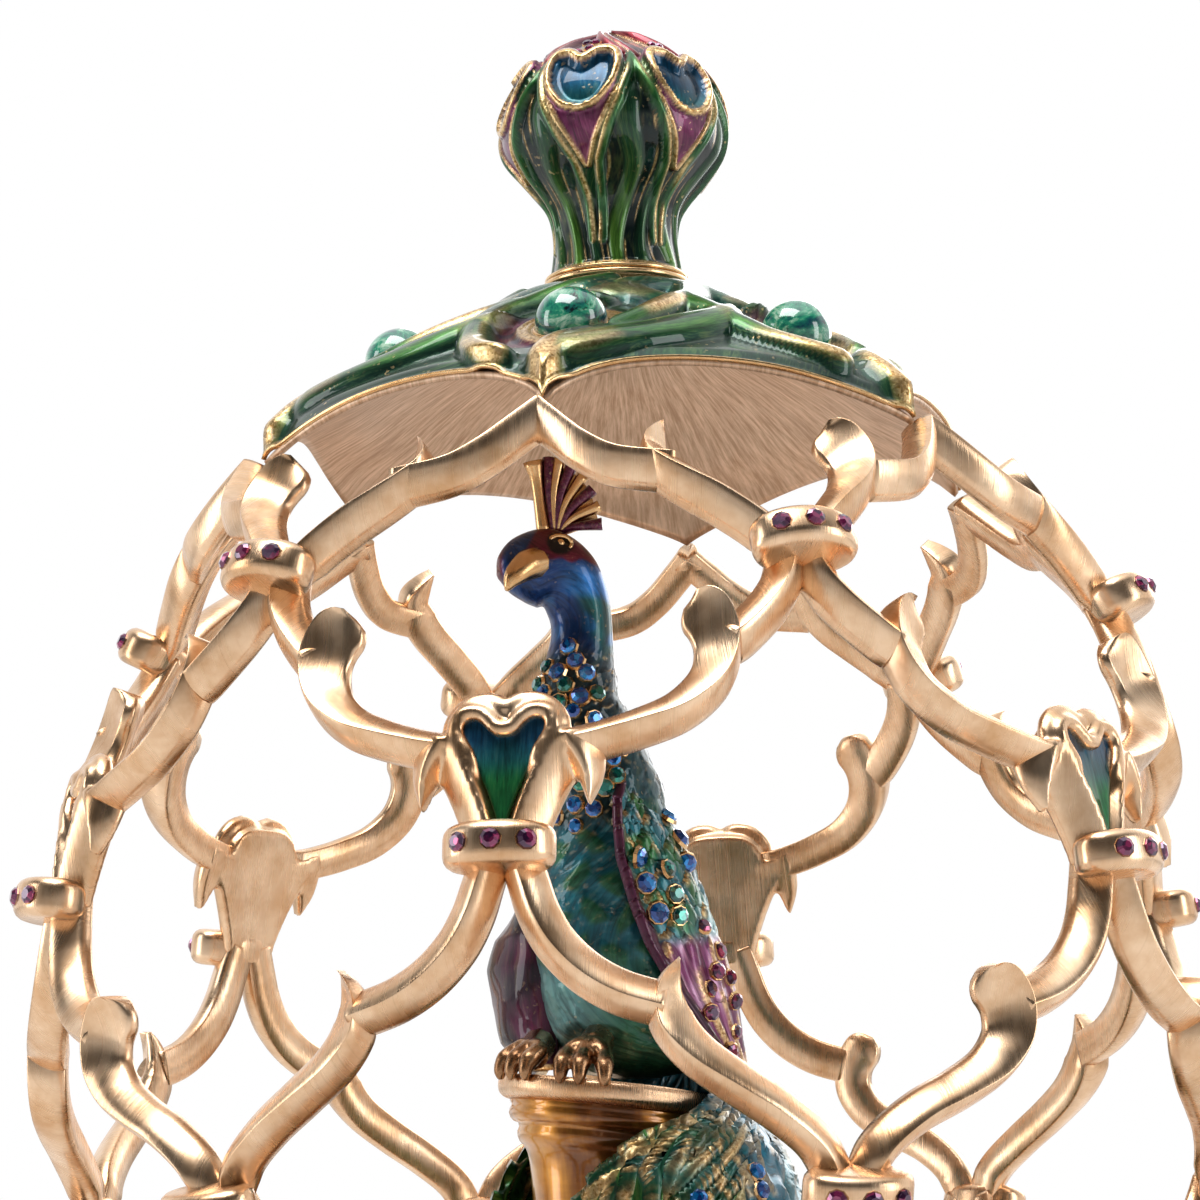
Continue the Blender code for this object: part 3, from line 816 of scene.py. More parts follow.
def flower_frame(bm, base_h):
    """Gold frame of the heart: back plate, raised rim, and a hood over the top."""
    plate = curve([(0, 0.5), (2.8, 2.5), (4.6, 8.5), (7.2, 13.2), (7.2, 16.8), (4.4, 19.4), (0, 19.8)], 4)
    plate += [Vector((-p.x, p.y, 0)) for p in plate[-2:0:-1]]
    loft(bm, [[on_front(p.x, p.y, base_h, lift) for p in plate] for lift in (-2.7, 0.7)])
    lobes = [p for p in heart_outline(1.07) if p.y > 9.0]
    full = [min(1.0, (p.y - 8.6) / 4.0) for p in lobes]
    line = [on_front(p.x * (1.22 - 0.22 * f), p.y, base_h, 0.6 + 1.2 * f) for p, f in zip(lobes, full)]
    tube(bm, line, [0.4 + 0.75 * f for f in full], 12)
    hood = [(-6.4, 11.0), (-7.3, 14.2), (-7.2, 17.2), (-5.2, 19.4), (-2.3, 19.9), (0, 18.9)]
    line = curve(hood + [(-x, y) for x, y in hood[-2::-1]], 4)
    last = len(line) - 1
    radii = [0.7 + 0.95 * math.sin(math.pi * i / last) ** 0.6 for i in range(last + 1)]
    tube(bm, [on_front(p.x, p.y, base_h, 0.4) for p in line], radii)


def heart_enamel(base_h):
    """Dished enamel that fills the heart, blue above and green below."""
    bm = bmesh.new()
    dish = ((1.1, -0.8), (1.1, 1.6), (1.0, 1.62), (0.85, 1.45), (0.65, 1.3), (0.35, 1.2), (0.06, 1.18))
    loft(bm, [[on_front(p.x, p.y, base_h, lift) for p in heart_outline(grow)] for grow, lift in dish])
    right_way_out(bm)
    soften = ("SMOOTH", {"factor": 0.5, "iterations": 3})
    mesh = settled(to_mesh(bm, "heart"), soften, ("SUBSURF", {"levels": 1, "render_levels": 1}))
    points = points_of(mesh)
    up = points[:, 2] - WIDEST_Z - base_h
    paint = mix((0.006, 0.14, 0.035), (0.003, 0.09, 0.11), step(up, 9.0, 13.0))
    paint = mix(paint, (0.0, 0.055, 0.13), step(up + 0.3 * np.abs(points[:, 0]), 13.0, 16.5))
    flow = np.stack([points[:, 0], points[:, 2], points[:, 1] * 0], axis=1)
    colour_points(mesh, np.c_[paint, np.zeros(len(points))], flow)
    return mesh


def casting_mesh(ring, right, left):
    """Arms as clean sweeps with their collar; the flower is fused first, as cast in one."""
    base_h = RING_H.get(ring, FORK_H)
    bm = bmesh.new()
    plain = [(1, arm) for arm in right] + [(-1, arm) for arm in left]
    if ring == "bloom":
        flower_frame(bm, base_h)
        for mirror, (line, widths, curl, end) in plain:
            if end != "butt" and curl < 0.5:
                loft(bm, strand_rings(line, base_h, mirror, widths, curl, end))
        fused = cast_smooth(bm, ring, FLOWER_GRAIN, 9)
        plain = [arm for arm in plain if arm[1][3] == "butt" or arm[1][2] > 0.5]
        bm = bmesh.new()
    for mirror, (line, widths, curl, end) in plain:
        loft(bm, strand_rings(line, base_h, mirror, widths, curl, end))
    if ring in RING_H:
        collar_shape(bm, base_h)
    right_way_out(bm)
    if ring == "bloom":
        bm.from_mesh(fused)
    return to_mesh(bm, ring)


def collar_crystals(base_h):
    bm = bmesh.new()
    centre, normal = egg_point(0, base_h)
    for spread in (-38, 0, 38):
        turn = math.radians(spread)
        ahead, aside = normal * math.cos(turn), Vector((math.sin(turn), 0, 0))
        out = (ahead / COLLAR_DEEP + aside / COLLAR_WIDE).normalized()
        spot = centre + normal * COLLAR_BACK + ahead * (COLLAR_DEEP - 0.3) + aside * (COLLAR_WIDE - 0.35)
        set_stone(bm, spot, out, COLLAR_STONE)
    return to_mesh(bm, "collar crystals")


def build_casting(ring):
    """The castings of a ring, their crystals and enamels; short curls stand beside every other column."""
    base_h = RING_H.get(ring, FORK_H)
    arms = ARMS[ring]
    short = ARMS.get(f"{ring} short", arms)
    castings = [casting_mesh(ring, arms, short), casting_mesh(ring, short, arms)]
    stones = collar_crystals(base_h) if ring in RING_H else None
    heart = heart_enamel(base_h) if ring == "bloom" else None
    for k in range(COLUMNS):
        turn = RING_START[ring] + 60 * k
        mesh = castings[k % 2].copy()
        nodes = [f"lattice_{ring}_{k + 1}"]
        finish_piece(f"{ring}_casting_{k + 1}", mesh, [gilt], nodes, turn=turn)
        if stones:
            name = f"{ring}_crystals_{k + 1}"
            finish_piece(name, stones.copy(), [amethyst, old_gilt], [], True, turn)
        if heart:
            finish_piece(f"heart_enamel_{k + 1}", heart.copy(), [heart_glass], [], turn=turn)


for ring in RING_START:
    build_casting(ring)


# Cap

dome_angles = np.linspace(0, 60, 601)
dome_radii = EGG_RADIUS * np.sin(np.radians(dome_angles))
dome_heights = EGG_RISE * np.cos(np.radians(dome_angles))
dome_arcs = np.concatenate([[0], np.cumsum(np.hypot(np.diff(dome_radii), np.diff(dome_heights)))])
EYE_ARC = float(np.interp(EYE_TILT, dome_angles, dome_arcs))


def cap_place(azimuth, share):
    rim = CAP_TIP + (CAP_SCALLOP - CAP_TIP) * scallop(azimuth, 0.72) * np.clip(share * 1.2 - 0.2, 0, 1)
    angle = np.radians(CAP_FLAT + (rim - CAP_FLAT) * share)
    radius, height = EGG_RADIUS * np.sin(angle), EGG_RISE * np.cos(angle)
    out_r, out_z = radius / EGG_RADIUS**2, height / EGG_RISE**2
    size = np.hypot(out_r, out_z)
    dip = CAP_DIP * step(angle, 0.14, 0.28) * (1 - step(angle, 0.47, 0.62))
    return radius, WIDEST_Z + height - dip, out_r / size, out_z / size


# Raised bands beside each eye, in millimetres across and down from its middle
LEFT_BAND = curve([(2, -20), (-6, -15.5), (-12.2, -8), (-14.2, 0), (-13.4, 8), (-11.2, 13.4), (-8.4, 17)], 4)
KNOB_BAND = curve([(14.6, -10), (12.4, -3), (9.0, 4.0), (4.6, 9.4), (0.6, 13.6), (-0.5, 18), (0, 24.6)], 4)
OUTER_BAND = curve([(3, 15.5), (8, 12.0), (14, 8), (21, 2), (28, -8)], 4)
UPPER_BAND = curve([(-20, -14), (-10, -19), (1, -17), (9, -12.5), (13.6, -6)], 4)
POCKET = (-4.6, 18.6)


def cap_dress(azimuth, share, radius, height):
    angle = np.degrees(np.arcsin(np.clip(radius / EGG_RADIUS, 0, 1)))
    down = np.interp(angle, dome_angles, dome_arcs) - EYE_ARC
    sector = np.round(azimuth / 60)
    lift = 1.1 + 0.25 * wobble(azimuth * 0.16, down * 0.25, 1.0)
    paint = mix(DEEP, (0.010, 0.060, 0.022), step(wobble(azimuth * 0.21, down * 0.35, 1.0), -0.4, 0.8))
    gold = np.zeros(azimuth.shape)
    across = np.radians(azimuth) * radius * 0.5
    along_band = down.copy()
    for shift in (-1, 1, 0):
        x = np.radians(azimuth - 60 * (sector + shift)) * radius
        pocket = np.hypot((x - POCKET[0]) / 3.2, (down - POCKET[1]) / 2.8)
        lift = np.where(pocket < 1, lift - 0.7 * (1 - pocket**2), lift)
        bands = (
            (OUTER_BAND, 5.6, 2.7, 0.45),
            (UPPER_BAND, 3.2, 2.2, 0.35),
            (LEFT_BAND, 3.4, 2.6, 1.0),
            (KNOB_BAND, 3.0, 2.7, 1.0),
        )
        for line, width, rise, glitter in bands:
            gap, run, offset = beside(line, x, down)
            if line is KNOB_BAND:
                width = 2.3 + 0.9 * step(run, 0.74, 0.9) + 1.1 * np.exp(-(((run - 0.16) / 0.12) ** 2))
            if line is LEFT_BAND:
                width = 2.5 + 0.9 * run
            if line is OUTER_BAND:
                width = 5.8 - 1.6 * np.clip(run, 0, 1)
            height_here = 0.6 + (rise + 0.6) * hump(gap, width)
            on_top = height_here > lift
            lift = np.logaddexp(5 * lift, 5 * height_here) / 5
            inside = (gap < width) & on_top
            crown = hump(gap, width)
            streak = 0.5 + 0.5 * np.sin(run * 7 + offset * 1.2 + 2.0 * glitter)
            shade = mix(LEAF, (0.07, 0.24, 0.022), 0.8 * crown**3 * streak)
            shade = mix(shade, DEEP, 0.8 * step(wobble(run * 9, offset * 1.1, width), 0.1, 0.7))
            shade = mix(shade, DEEP, step(gap / width, 0.55, 0.95))
            if line is UPPER_BAND:
                shade = mix(shade, (0.008, 0.09, 0.085), 0.6)
            paint = np.where(inside[..., None], shade, paint)
            crest = step(1 - gap / width, 0.2, 0.5)
            if line is KNOB_BAND:
                run_gold = np.maximum(step(run, 0.03, 0.1) * (1 - step(run, 0.26, 0.36)), step(run, 0.66, 0.78))
                run_gold = np.maximum(run_gold, 0.55 * step(offset, 0.6, 1.4) * (1 - step(run, 0.3, 0.7) * 0.5))
            elif line is LEFT_BAND:
                side_gold = 0.6 * step(-offset, 1.0, 1.8) * step(run, 0.3, 0.6)
                run_gold = np.maximum(0.85 * step(run, 0.72, 0.86), side_gold)
            else:
                run_gold = 0.7 * step(np.sin(run * 9 + 1.0), 0.3, 0.9)
            gold = np.where(inside, glitter * crest * run_gold, gold)
            across = np.where(inside, offset * 1.3, across)
            along_band = np.where(inside, run * 46, along_band)
        eye = np.hypot(x * 0.98, down)
        turn = np.arctan2(down, x)
        plum_out = 9.9 + 1.5 * np.cos(turn - 2.4)
        basin = 0.85 + 0.4 * np.exp(-(((eye - 7.9) / 0.4) ** 2)) + 0.3 * np.exp(-(((eye - 6.7) / 0.3) ** 2))
        basin = basin - 0.35 * step(eye, 8.2, 9.2)
        covered = step(x, 5.0, 7.0) * step(lift, 1.5, 2.3) * step(eye, 7.4, 8.4)
        use = eye < plum_out + 0.6
        cut = np.maximum(covered, step(eye, plum_out - 0.5, plum_out + 0.6))
        lift = np.where(use, basin * (1 - cut) + lift * cut, lift)
        plum = mix((0.14, 0.010, 0.045), (0.035, 0.008, 0.05), step(wobble(x, down), -0.3, 0.7))
        ring_tone = mix((0.30, 0.15, 0.06), (0.16, 0.05, 0.04), step(np.abs(eye - 7.3), 0.1, 0.5))
        eye_paint = mix(ring_tone, plum, step(eye, 8.0, 8.4))
        paint = np.where(use[..., None], mix(eye_paint, paint, cut), paint)
        gold = np.where(use, gold * cut + (1 - cut) * (1 - step(eye, 7.9, 8.3)) * 0.75, gold)
        across = np.where(use, eye, across)
        along_band = np.where(use, turn * 8, along_band)
    edge = step(share, 0.982, 0.993)
    lift = lift * (1 - 0.65 * step(share, 0.92, 1.0)) + 0.3 * edge
    gold = np.maximum(gold, edge * 0.85)
    flow = np.stack([across, along_band, azimuth * 0.05], axis=1)
    return lift, np.c_[paint, gold], flow


def lining_dress(azimuth, share, radius, height):
    """Plain underside of the cap, lifted to its rim."""
    _, paint, flow = undressed(azimuth, share, radius, height)
    return 0.30 * step(share, 0.96, 1.0) - 0.15, paint, flow


def build_cap():
    mesh = turned_sheet("cap", 480, 98, cap_place, cap_dress, wall=0.7)
    finish_piece("enamelled_cap", mesh, [enamel, bright_gilt], ["cap"])
    mesh = turned_sheet("cap lining", 288, 30, cap_place, lining_dress, wall=1.0)
    finish_piece("cap_lining", mesh, [lining_gilt, lining_gilt], [])


build_cap()


def build_cabochons():
    """Round polished stones in rippled gold seats."""
    for k in range(COLUMNS):
        centre, normal = egg_point(60 * k, EGG_RISE * math.cos(math.radians(EYE_TILT)), 1.2)
        centre.z -= CAP_DIP
        spot = Matrix.Translation(centre) @ normal.to_track_quat("Z", "Y").to_matrix().to_4x4()
        bm = bmesh.new()
        bmesh.ops.create_uvsphere(bm, u_segments=40, v_segments=24, radius=5.35)
        bmesh.ops.bisect_plane(
            bm, geom=[*bm.verts, *bm.edges, *bm.faces], plane_co=(0, 0, -1.0), plane_no=(0, 0, -1), clear_outer=True
        )
        bmesh.ops.holes_fill(bm, edges=[e for e in bm.edges if e.is_boundary], sides=0)
        bmesh.ops.scale(bm, verts=bm.verts[:], vec=(1, 1, 0.98))
        bmesh.ops.transform(bm, matrix=spot, verts=bm.verts[:])
        right_way_out(bm)
        nodes = [f"cabochon_{k + 1}"]
        finish_piece(f"polished_cabochon_{k + 1}", to_mesh(bm, "stone"), [malachite], nodes)
        bm = bmesh.new()
        for radius, tube_radius, rise in ((5.5, 0.42, -0.75), (6.5, 0.34, -0.95)):
            tube(bm, level_ring(radius, rise, 48), tube_radius, closed=True)
        bmesh.ops.transform(bm, matrix=spot, verts=bm.verts[:])
        right_way_out(bm)
        finish_piece(f"stone_seat_{k + 1}", to_mesh(bm, "seat"), [bright_gilt], [])


build_cabochons()


# Finial of upright feathers

FINIAL_SPAN = FINIAL_TOP - FINIAL_FOOT
FINIAL_EYE = FINIAL_FOOT + FINIAL_SPAN * 0.70
FINIAL_STONE = 0.75
# Radius at shares of the height, top to bottom
FINIAL_PROFILE = [
    (0.0, 1.0), (2.6, 0.972), (5.8, 0.93), (9.2, 0.878), (12.4, 0.80), (15.2, 0.715), (16.7, 0.62), (16.3, 0.52),
    (13.8, 0.425), (10.9, 0.335), (9.6, 0.27), (9.2, 0.18), (9.6, 0.08), (10.3, 0.0),
]
half_heart = curve([(0, -4.0), (2.3, -3.3), (4.2, -1.0), (4.7, 1.4), (4.0, 3.2), (2.3, 3.5), (0.8, 2.5)], 4)
FINIAL_HEART = [(p.x, p.y) for p in half_heart] + [(0, 2.2)] + [(-p.x, p.y) for p in half_heart[::-1]]


def inside_shape(outline, x, y):
    """True for points within a closed outline."""
    inside = np.zeros(x.shape, dtype=bool)
    for (ax, ay), (bx, by) in zip(outline, outline[1:] + outline[:1]):
        if ay == by:
            continue
        crosses = ((ay > y) != (by > y)) & (x < (bx - ax) * (y - ay) / (by - ay) + ax)
        inside ^= crosses
    return inside


def finial_dress(azimuth, share, radius, height):
    up = height - FINIAL_EYE
    turned = azimuth + 6.0
    sector = np.round(turned / 60)
    x = np.radians(turned - 60 * sector) * radius
    # Round stalks run up the neck, waver, and part round the hearts
    waver = 7.0 * np.sin(up * 0.24 + 1.2 * np.sin(turned * math.pi / 60)) * step(-up, 4, 14)
    phase = np.radians((turned + waver) * 7.5)
    stalk = np.abs(np.cos(phase))
    below = 1 - step(up, -7, 0)
    lift = (1.7 * stalk**0.7 - 1.2) * (0.6 + 0.4 * below)
    tone = 0.5 + 0.5 * np.sin(np.floor((turned + waver) / 24 + 0.5) * 2.4)
    # Painted highlight and painted shade: the stalk crests take a lighter green that differs from stalk to stalk,
    # and the grooves between the stalks are near-black.
    lit = mix((0.008, 0.060, 0.022), (0.08, 0.22, 0.022), tone * (1 - step(up, -22, -8)))
    paint = mix((0.002, 0.012, 0.012), lit, step(stalk, 0.45, 0.98))
    patchy = step(wobble(turned * 0.3, up * 0.35, 2.0), -0.1, 0.5)
    gold = 0.85 * np.exp(-(((stalk - 0.42) / 0.07) ** 2)) * patchy
    across = np.sin(phase) * 2.2
    # Petals fold over the top and twist to its peak
    top = step(up, 2.6, 5.4)
    swirl = turned + 34 * step(up, 3, 13)
    petal = np.cos(np.radians(swirl * 6 + 180))
    fold = np.cos(np.radians(swirl * 12 + 60))
    petal_lift = (1.3 * petal + 0.8 * np.abs(fold) ** 0.6 - 0.5) * (1 - 0.6 * step(up, 9.5, 12.5))
    lift = lift * (1 - top) + top * petal_lift
    petal_paint = mix((0.05, 0.008, 0.035), (0.36, 0.035, 0.055), step(petal + 0.4 * fold, -0.5, 1.0))
    petal_paint = mix(petal_paint, (0.02, 0.012, 0.02), step(-np.abs(fold), -0.28, -0.05))
    paint = mix(paint, petal_paint, top)
    gold = gold * (1 - top) + top * 0.8 * np.exp(-(((np.abs(fold) - 0.16) / 0.09) ** 2))
    # Frames, hearts and the plum wedges under them
    outer = [(-6.6, 4.4), (-6.9, 1.0), (-6.0, -3.4), (-3.9, -7.6), (-1.9, -11.4), (-1.1, -16), (-0.8, -23)]
    for mirror in (-1, 1):
        line = [(mirror * px, py) for px, py in outer]
        gap, run, offset = beside(line, x, up)
        edge = hump(gap, 1.0 - 0.25 * run)
        lift = np.where(edge > 0, np.maximum(lift, 0.1 + 1.5 * edge * (1 - 0.75 * run)), lift)
        paint = np.where((edge > 0)[..., None], mix(DEEP, LEAF, edge), paint)
        thread = np.exp(-(((offset * mirror - 0.35) / 0.28) ** 2))
        patchy = step(wobble(up * 0.5, turned * 0.1, 1.0), -0.6, 0.1)
        gold = np.where(edge > 0, 0.9 * thread * patchy, gold)
    wedge_half = np.interp(up, [-12.6, -9.0, -5.4, -2.4, 1.5], [0.0, 1.7, 3.8, 5.2, 5.6])
    wedge = (np.abs(x) < wedge_half) & (up > -12.6) & (up < 4.4)
    plum = mix((0.15, 0.012, 0.075), (0.24, 0.04, 0.13), step(wobble(x, up), -0.3, 0.6))
    paint = np.where(wedge[..., None], plum, paint)
    lift = np.where(wedge, 0.55, lift)
    gold = np.where(wedge, 0.0, gold)
    rim_line = step(-np.abs(np.abs(x) - wedge_half), -0.6, -0.2) * (up > -12.4) * (up < -1)
    gold = np.maximum(gold, 0.9 * rim_line)
    lift = np.maximum(lift, 0.95 * rim_line)
    gap, _, _ = beside(FINIAL_HEART, x, up)
    within = inside_shape(FINIAL_HEART, x, up)
    frame_band = (gap < 1.3) & ~within
    upright = 0.2 * up
    lift = np.where(frame_band, 0.9 + upright + 1.2 * hump(gap - 0.3, 1.05), lift)
    gold = np.where(frame_band, 1 - step(gap, 0.8, 1.0), gold)
    lift = np.where(within, 1.2 + upright - 0.8 * step(gap, 0.0, 1.0), lift)
    heart = mix((0.0, 0.055, 0.125), (0.008, 0.12, 0.14), step(-up, -0.5, 3.2))
    paint = np.where(within[..., None], heart, paint)
    gold = np.where(within, 0.0, gold)
    foot = step(share, 0.952, 0.962)
    lift = np.where(share > 0.952, 0.35, lift)
    gold = np.maximum(gold, foot * 0.9)
    flow = np.stack([np.where(within, x * 0.3, across), up * 0.8, azimuth * 0.02], axis=1)
    return lift, np.c_[paint, gold], flow


def build_finial():
    place = profile_place([(r, FINIAL_FOOT + FINIAL_SPAN * s) for r, s in FINIAL_PROFILE])
    mesh = turned_sheet("finial", 420, 170, place, finial_dress)
    finish_piece("feather_finial", mesh, [enamel], ["finial"])
    bm = bmesh.new()
    for radius, rise, bar in ((10.9, 0.5, 0.55), (10.7, 1.5, 0.4)):
        tube(bm, level_ring(radius, FINIAL_FOOT + rise, 72), bar, closed=True)
    right_way_out(bm)
    finish_piece("finial_ring", to_mesh(bm, "ring"), [bright_gilt], [])
    bm = bmesh.new()
    radii, heights, out_r, out_z = place(0, np.linspace(0, 0.5, 200))
    for k in range(COLUMNS):
        for spread, rise in ((-8, 5.4), (0, 6.0), (8, 5.4), (-4, 7.2), (4, 7.2)):
            i = int(np.argmin(np.abs(heights - FINIAL_EYE - rise)))
            aside = direction(60 * k - 6 + spread)
            out = aside * out_r[i] + Vector((0, 0, out_z[i]))
            spot = aside * radii[i] + Vector((0, 0, heights[i])) + out * 0.9
            set_stone(bm, spot, out.normalized(), FINIAL_STONE)
    finish_piece("finial_crystals", to_mesh(bm, "stones"), [amethyst, bright_gilt], [], True)


build_finial()


# Cup, stem and foot

def cup_place(azimuth, share):
    rim = CUP_SCALLOP + (CUP_TIP - CUP_SCALLOP) * scallop(azimuth)
    angle = np.radians(CUP_FLAT + (rim - CUP_FLAT) * (1 - share))
    radius, height = EGG_RADIUS * np.sin(angle), -EGG_DROP * np.cos(angle)
    out_r, out_z = radius / EGG_RADIUS**2, height / EGG_DROP**2
    size = np.hypot(out_r, out_z)
    return radius, WIDEST_Z + height, out_r / size, out_z / size


def cup_dress(azimuth, share, radius, height):
    turned = azimuth + 30
    flute = np.cos(np.radians(turned * 18))
    lift = 1.9 + 0.5 * flute * step(share, 0.1, 0.3)
    paint = mix(DEEP, LEAF, step(flute, -0.4, 0.8))
    paint = mix(paint, LIME, 0.5 * step(flute, 0.3, 1.0))
    edge = 1 - step(share, 0.05, 0.09)
    gold = np.maximum(edge, 0.7 * step(-flute, 0.9, 0.98))
    lift = lift + 0.7 * edge
    flow = np.stack([flute * 2, share * 20, azimuth * 0.03], axis=1)
    return lift, np.c_[paint, gold], flow


def fluted_dress(flutes, rise, low, high, rims=()):
    """Dress for a turned piece with soft flutes and gold bands at some shares."""

    def dress(azimuth, share, radius, height):
        flute = np.cos(np.radians(azimuth * flutes))
        fade = step(share, 0.0, 0.08) * (1 - step(share, 0.92, 1.0))
        lift = rise * flute * fade
        paint = mix(mix(low, high, step(flute, -0.5, 0.8)), LIME, 0.5 * step(flute, 0.2, 1.0) * fade)
        gold = 0.8 * step(-flute, 0.86, 0.97) * fade
        for middle, width in rims:
            band = np.exp(-(((share - middle) / width) ** 4))
            gold = np.maximum(gold, band)
            lift = lift * (1 - band) + 0.5 * band
        flow = np.stack([flute * 2, share * 30, azimuth * 0.02], axis=1)
        return lift, np.c_[paint, gold], flow

    return dress


def foot_dress(azimuth, share, radius, height):
    """Flutes and feather eyes on the foot's skirt, echoing the cap; the hidden flats stay plain."""
    skirt = (height > 5.5) & (height < 25.25)
    share = np.clip((25.3 - height) / 19.9, 0, 1)
    fluted = fluted_dress(30, 0.35, DEEP, LEAF, ((0.02, 0.03), (0.985, 0.02)))
    lift, paint, flow = fluted(azimuth, share, radius, height)
    sector = np.round(azimuth / 60)
    x = np.radians(azimuth - 60 * sector) * radius
    y = (share - 0.66) * 46
    heart = [(px * 1.25, -py * 1.25) for px, py in FINIAL_HEART]
    gap, _, _ = beside(heart, x, y)
    within = inside_shape(heart, x, y)
    band = (gap < 1.5) & ~within
    lift = np.where(band, 0.4 + 0.9 * hump(gap - 0.4, 1.2), lift)
    lift = np.where(within, 0.35 + 0.3 * step(gap, 0.4, 2.5), lift)
    colour = np.where(within[..., None], mix(HEART, SKY, 0.5 * step(y, 0.0, 4.0)), paint[:, :3])
    gold = np.where(band, 1.0, np.where(within, 0.0, paint[:, 3]))
    return np.where(skirt, np.clip(lift, -0.3, 1.2), 0.0), np.c_[colour, gold], flow


def build_stand():
    """Cup with its floor, fluted stem, and enamelled foot on a gilt rim."""
    mesh = turned_sheet("cup", 288, 40, cup_place, cup_dress, wall=2.4)
    finish_piece("scalloped_cup", mesh, [enamel, inner_gilt], ["cup"])

    low = WIDEST_Z - EGG_DROP * math.cos(math.radians(CUP_FLAT)) - 2.6
    disc = [(0.0, 2.4), (10.0, 2.4), (19.0, 2.4), (19.6, 1.2), (19.0, 0), (10.0, 0), (0.0, 0)]
    place = profile_place([(r, low + z) for r, z in disc])
    mesh = turned_sheet("floor", 96, 40, place, fluted_dress(12, 0.0, DEEP, LEAF, ((0.5, 0.6),)))
    finish_piece("cup_floor", mesh, [inner_gilt], [])

    foot = [
        (0.0, 25.3), (9.0, 25.3), (16.9, 25.3), (17.4, 24.8), (23.2, 19.8), (34.2, 15.3), (44.6, 10.4), (48.4, 5.4),
        (40.0, 5.35), (0.0, 5.35),
    ]
    mesh = turned_sheet("foot", 360, 110, profile_place(foot, 12), foot_dress)
    finish_piece("enamelled_foot", mesh, [enamel], ["foot"])

    rim = [
        (0.0, 5.0), (30.0, 5.0), (50.2, 5.0), (51.2, 4.6), (52.0, 3.2), (52.0, 0.6), (51.4, 0.0), (40.0, 0.0),
        (0.0, 0.0),
    ]
    mesh = turned_sheet("foot_rim", 180, 60, profile_place(rim, 8), undressed)
    finish_piece("gilt_foot_rim", mesh, [gilt], ["foot_rim"])

    low, high = 25.7, 60.6
    shape = [
        (0, 1.0), (12, 1.0), (16.6, 0.99), (16.2, 0.93), (10.2, 0.82), (10.0, 0.76), (14.0, 0.6), (14.2, 0.46),
        (10.0, 0.28), (9.8, 0.22), (14.6, 0.06), (15.6, 0.01), (8, 0.0), (0, 0.0),
    ]
    place = profile_place([(r, low + (high - low) * s) for r, s in shape])
    mesh = turned_sheet("stem", 240, 120, place, fluted_dress(18, 0.3, DEEP, LEAF, ((0.30, 0.03), (0.66, 0.03))))
    finish_piece("fluted_stem", mesh, [enamel], ["stem"])


build_stand()

# Pedestal and peacock, in millimetres across the view, away from it and up from the plate

FIGURE_PLACE = Matrix.Translation((FIGURE_SHIFT, 0, PLATE_TOP + PLATE_DROP))
FIGURE = Matrix.Rotation(math.radians(FIGURE_TURN), 4, "Z") @ FIGURE_PLACE


def rows_table(rows, steps=8):
    """Smooth table through rows of six values, with the share of the way along for each."""
    line = np.array([tuple(p) for p in smooth_line([r[:3] for r in rows], steps)])
    rest = np.array([tuple(p) for p in smooth_line([r[3:] for r in rows], steps)])
    runs = np.concatenate([[0], np.cumsum(np.linalg.norm(np.diff(line, axis=0), axis=1))])
    return runs / runs[-1], np.c_[line, rest]


def draped(name, across, along, place, dress, wall=None, closed=False):
    """A sheet whose place(u, v) gives points, lifted along its own normals by its dress."""
    bm = bmesh.new()
    bmesh.ops.create_grid(bm, x_segments=across, y_segments=along, size=1)
    mesh = to_mesh(bm, name)
    grid = points_of(mesh)
    u, v = (grid[:, 0] + 1) / 2, (grid[:, 1] + 1) / 2
    tiny = 0.002
    points = place(u, v)
    by_u = place(u + tiny, v) - place(u - tiny, v)
    by_v = place(u, np.clip(v + tiny, 0, 1)) - place(u, np.clip(v - tiny, 0, 1))
    normal = np.cross(by_u, by_v)
    normal /= np.maximum(np.linalg.norm(normal, axis=1), 1e-9)[:, None]
    lift, paint, flow = dress(u, v, points)
    points = points + normal * lift[:, None]
    mesh.vertices.foreach_set("co", points.astype(np.float32).ravel())
    colour_points(mesh, paint, flow)
    if wall:
        settings = {"thickness": wall, "offset": -1.0}
        return settled(mesh, ("SOLIDIFY", settings))
    bm = bmesh.new()
    bm.from_mesh(mesh)
    bpy.data.meshes.remove(mesh)
    if closed:
        bmesh.ops.remove_doubles(bm, verts=bm.verts[:], dist=0.003)
        bmesh.ops.holes_fill(bm, edges=[e for e in bm.edges if e.is_boundary], sides=0)
    right_way_out(bm)
    return to_mesh(bm, name)


def figure_piece(name, mesh, finishes, nodes, flat=False):
    mesh.transform(FIGURE)
    finish_piece(name, mesh, finishes, nodes, flat)


def plain_paint(mesh, colour, gold=0.0):
    count = len(mesh.vertices)
    colour_points(mesh, np.tile((*colour, gold), (count, 1)))
    return mesh


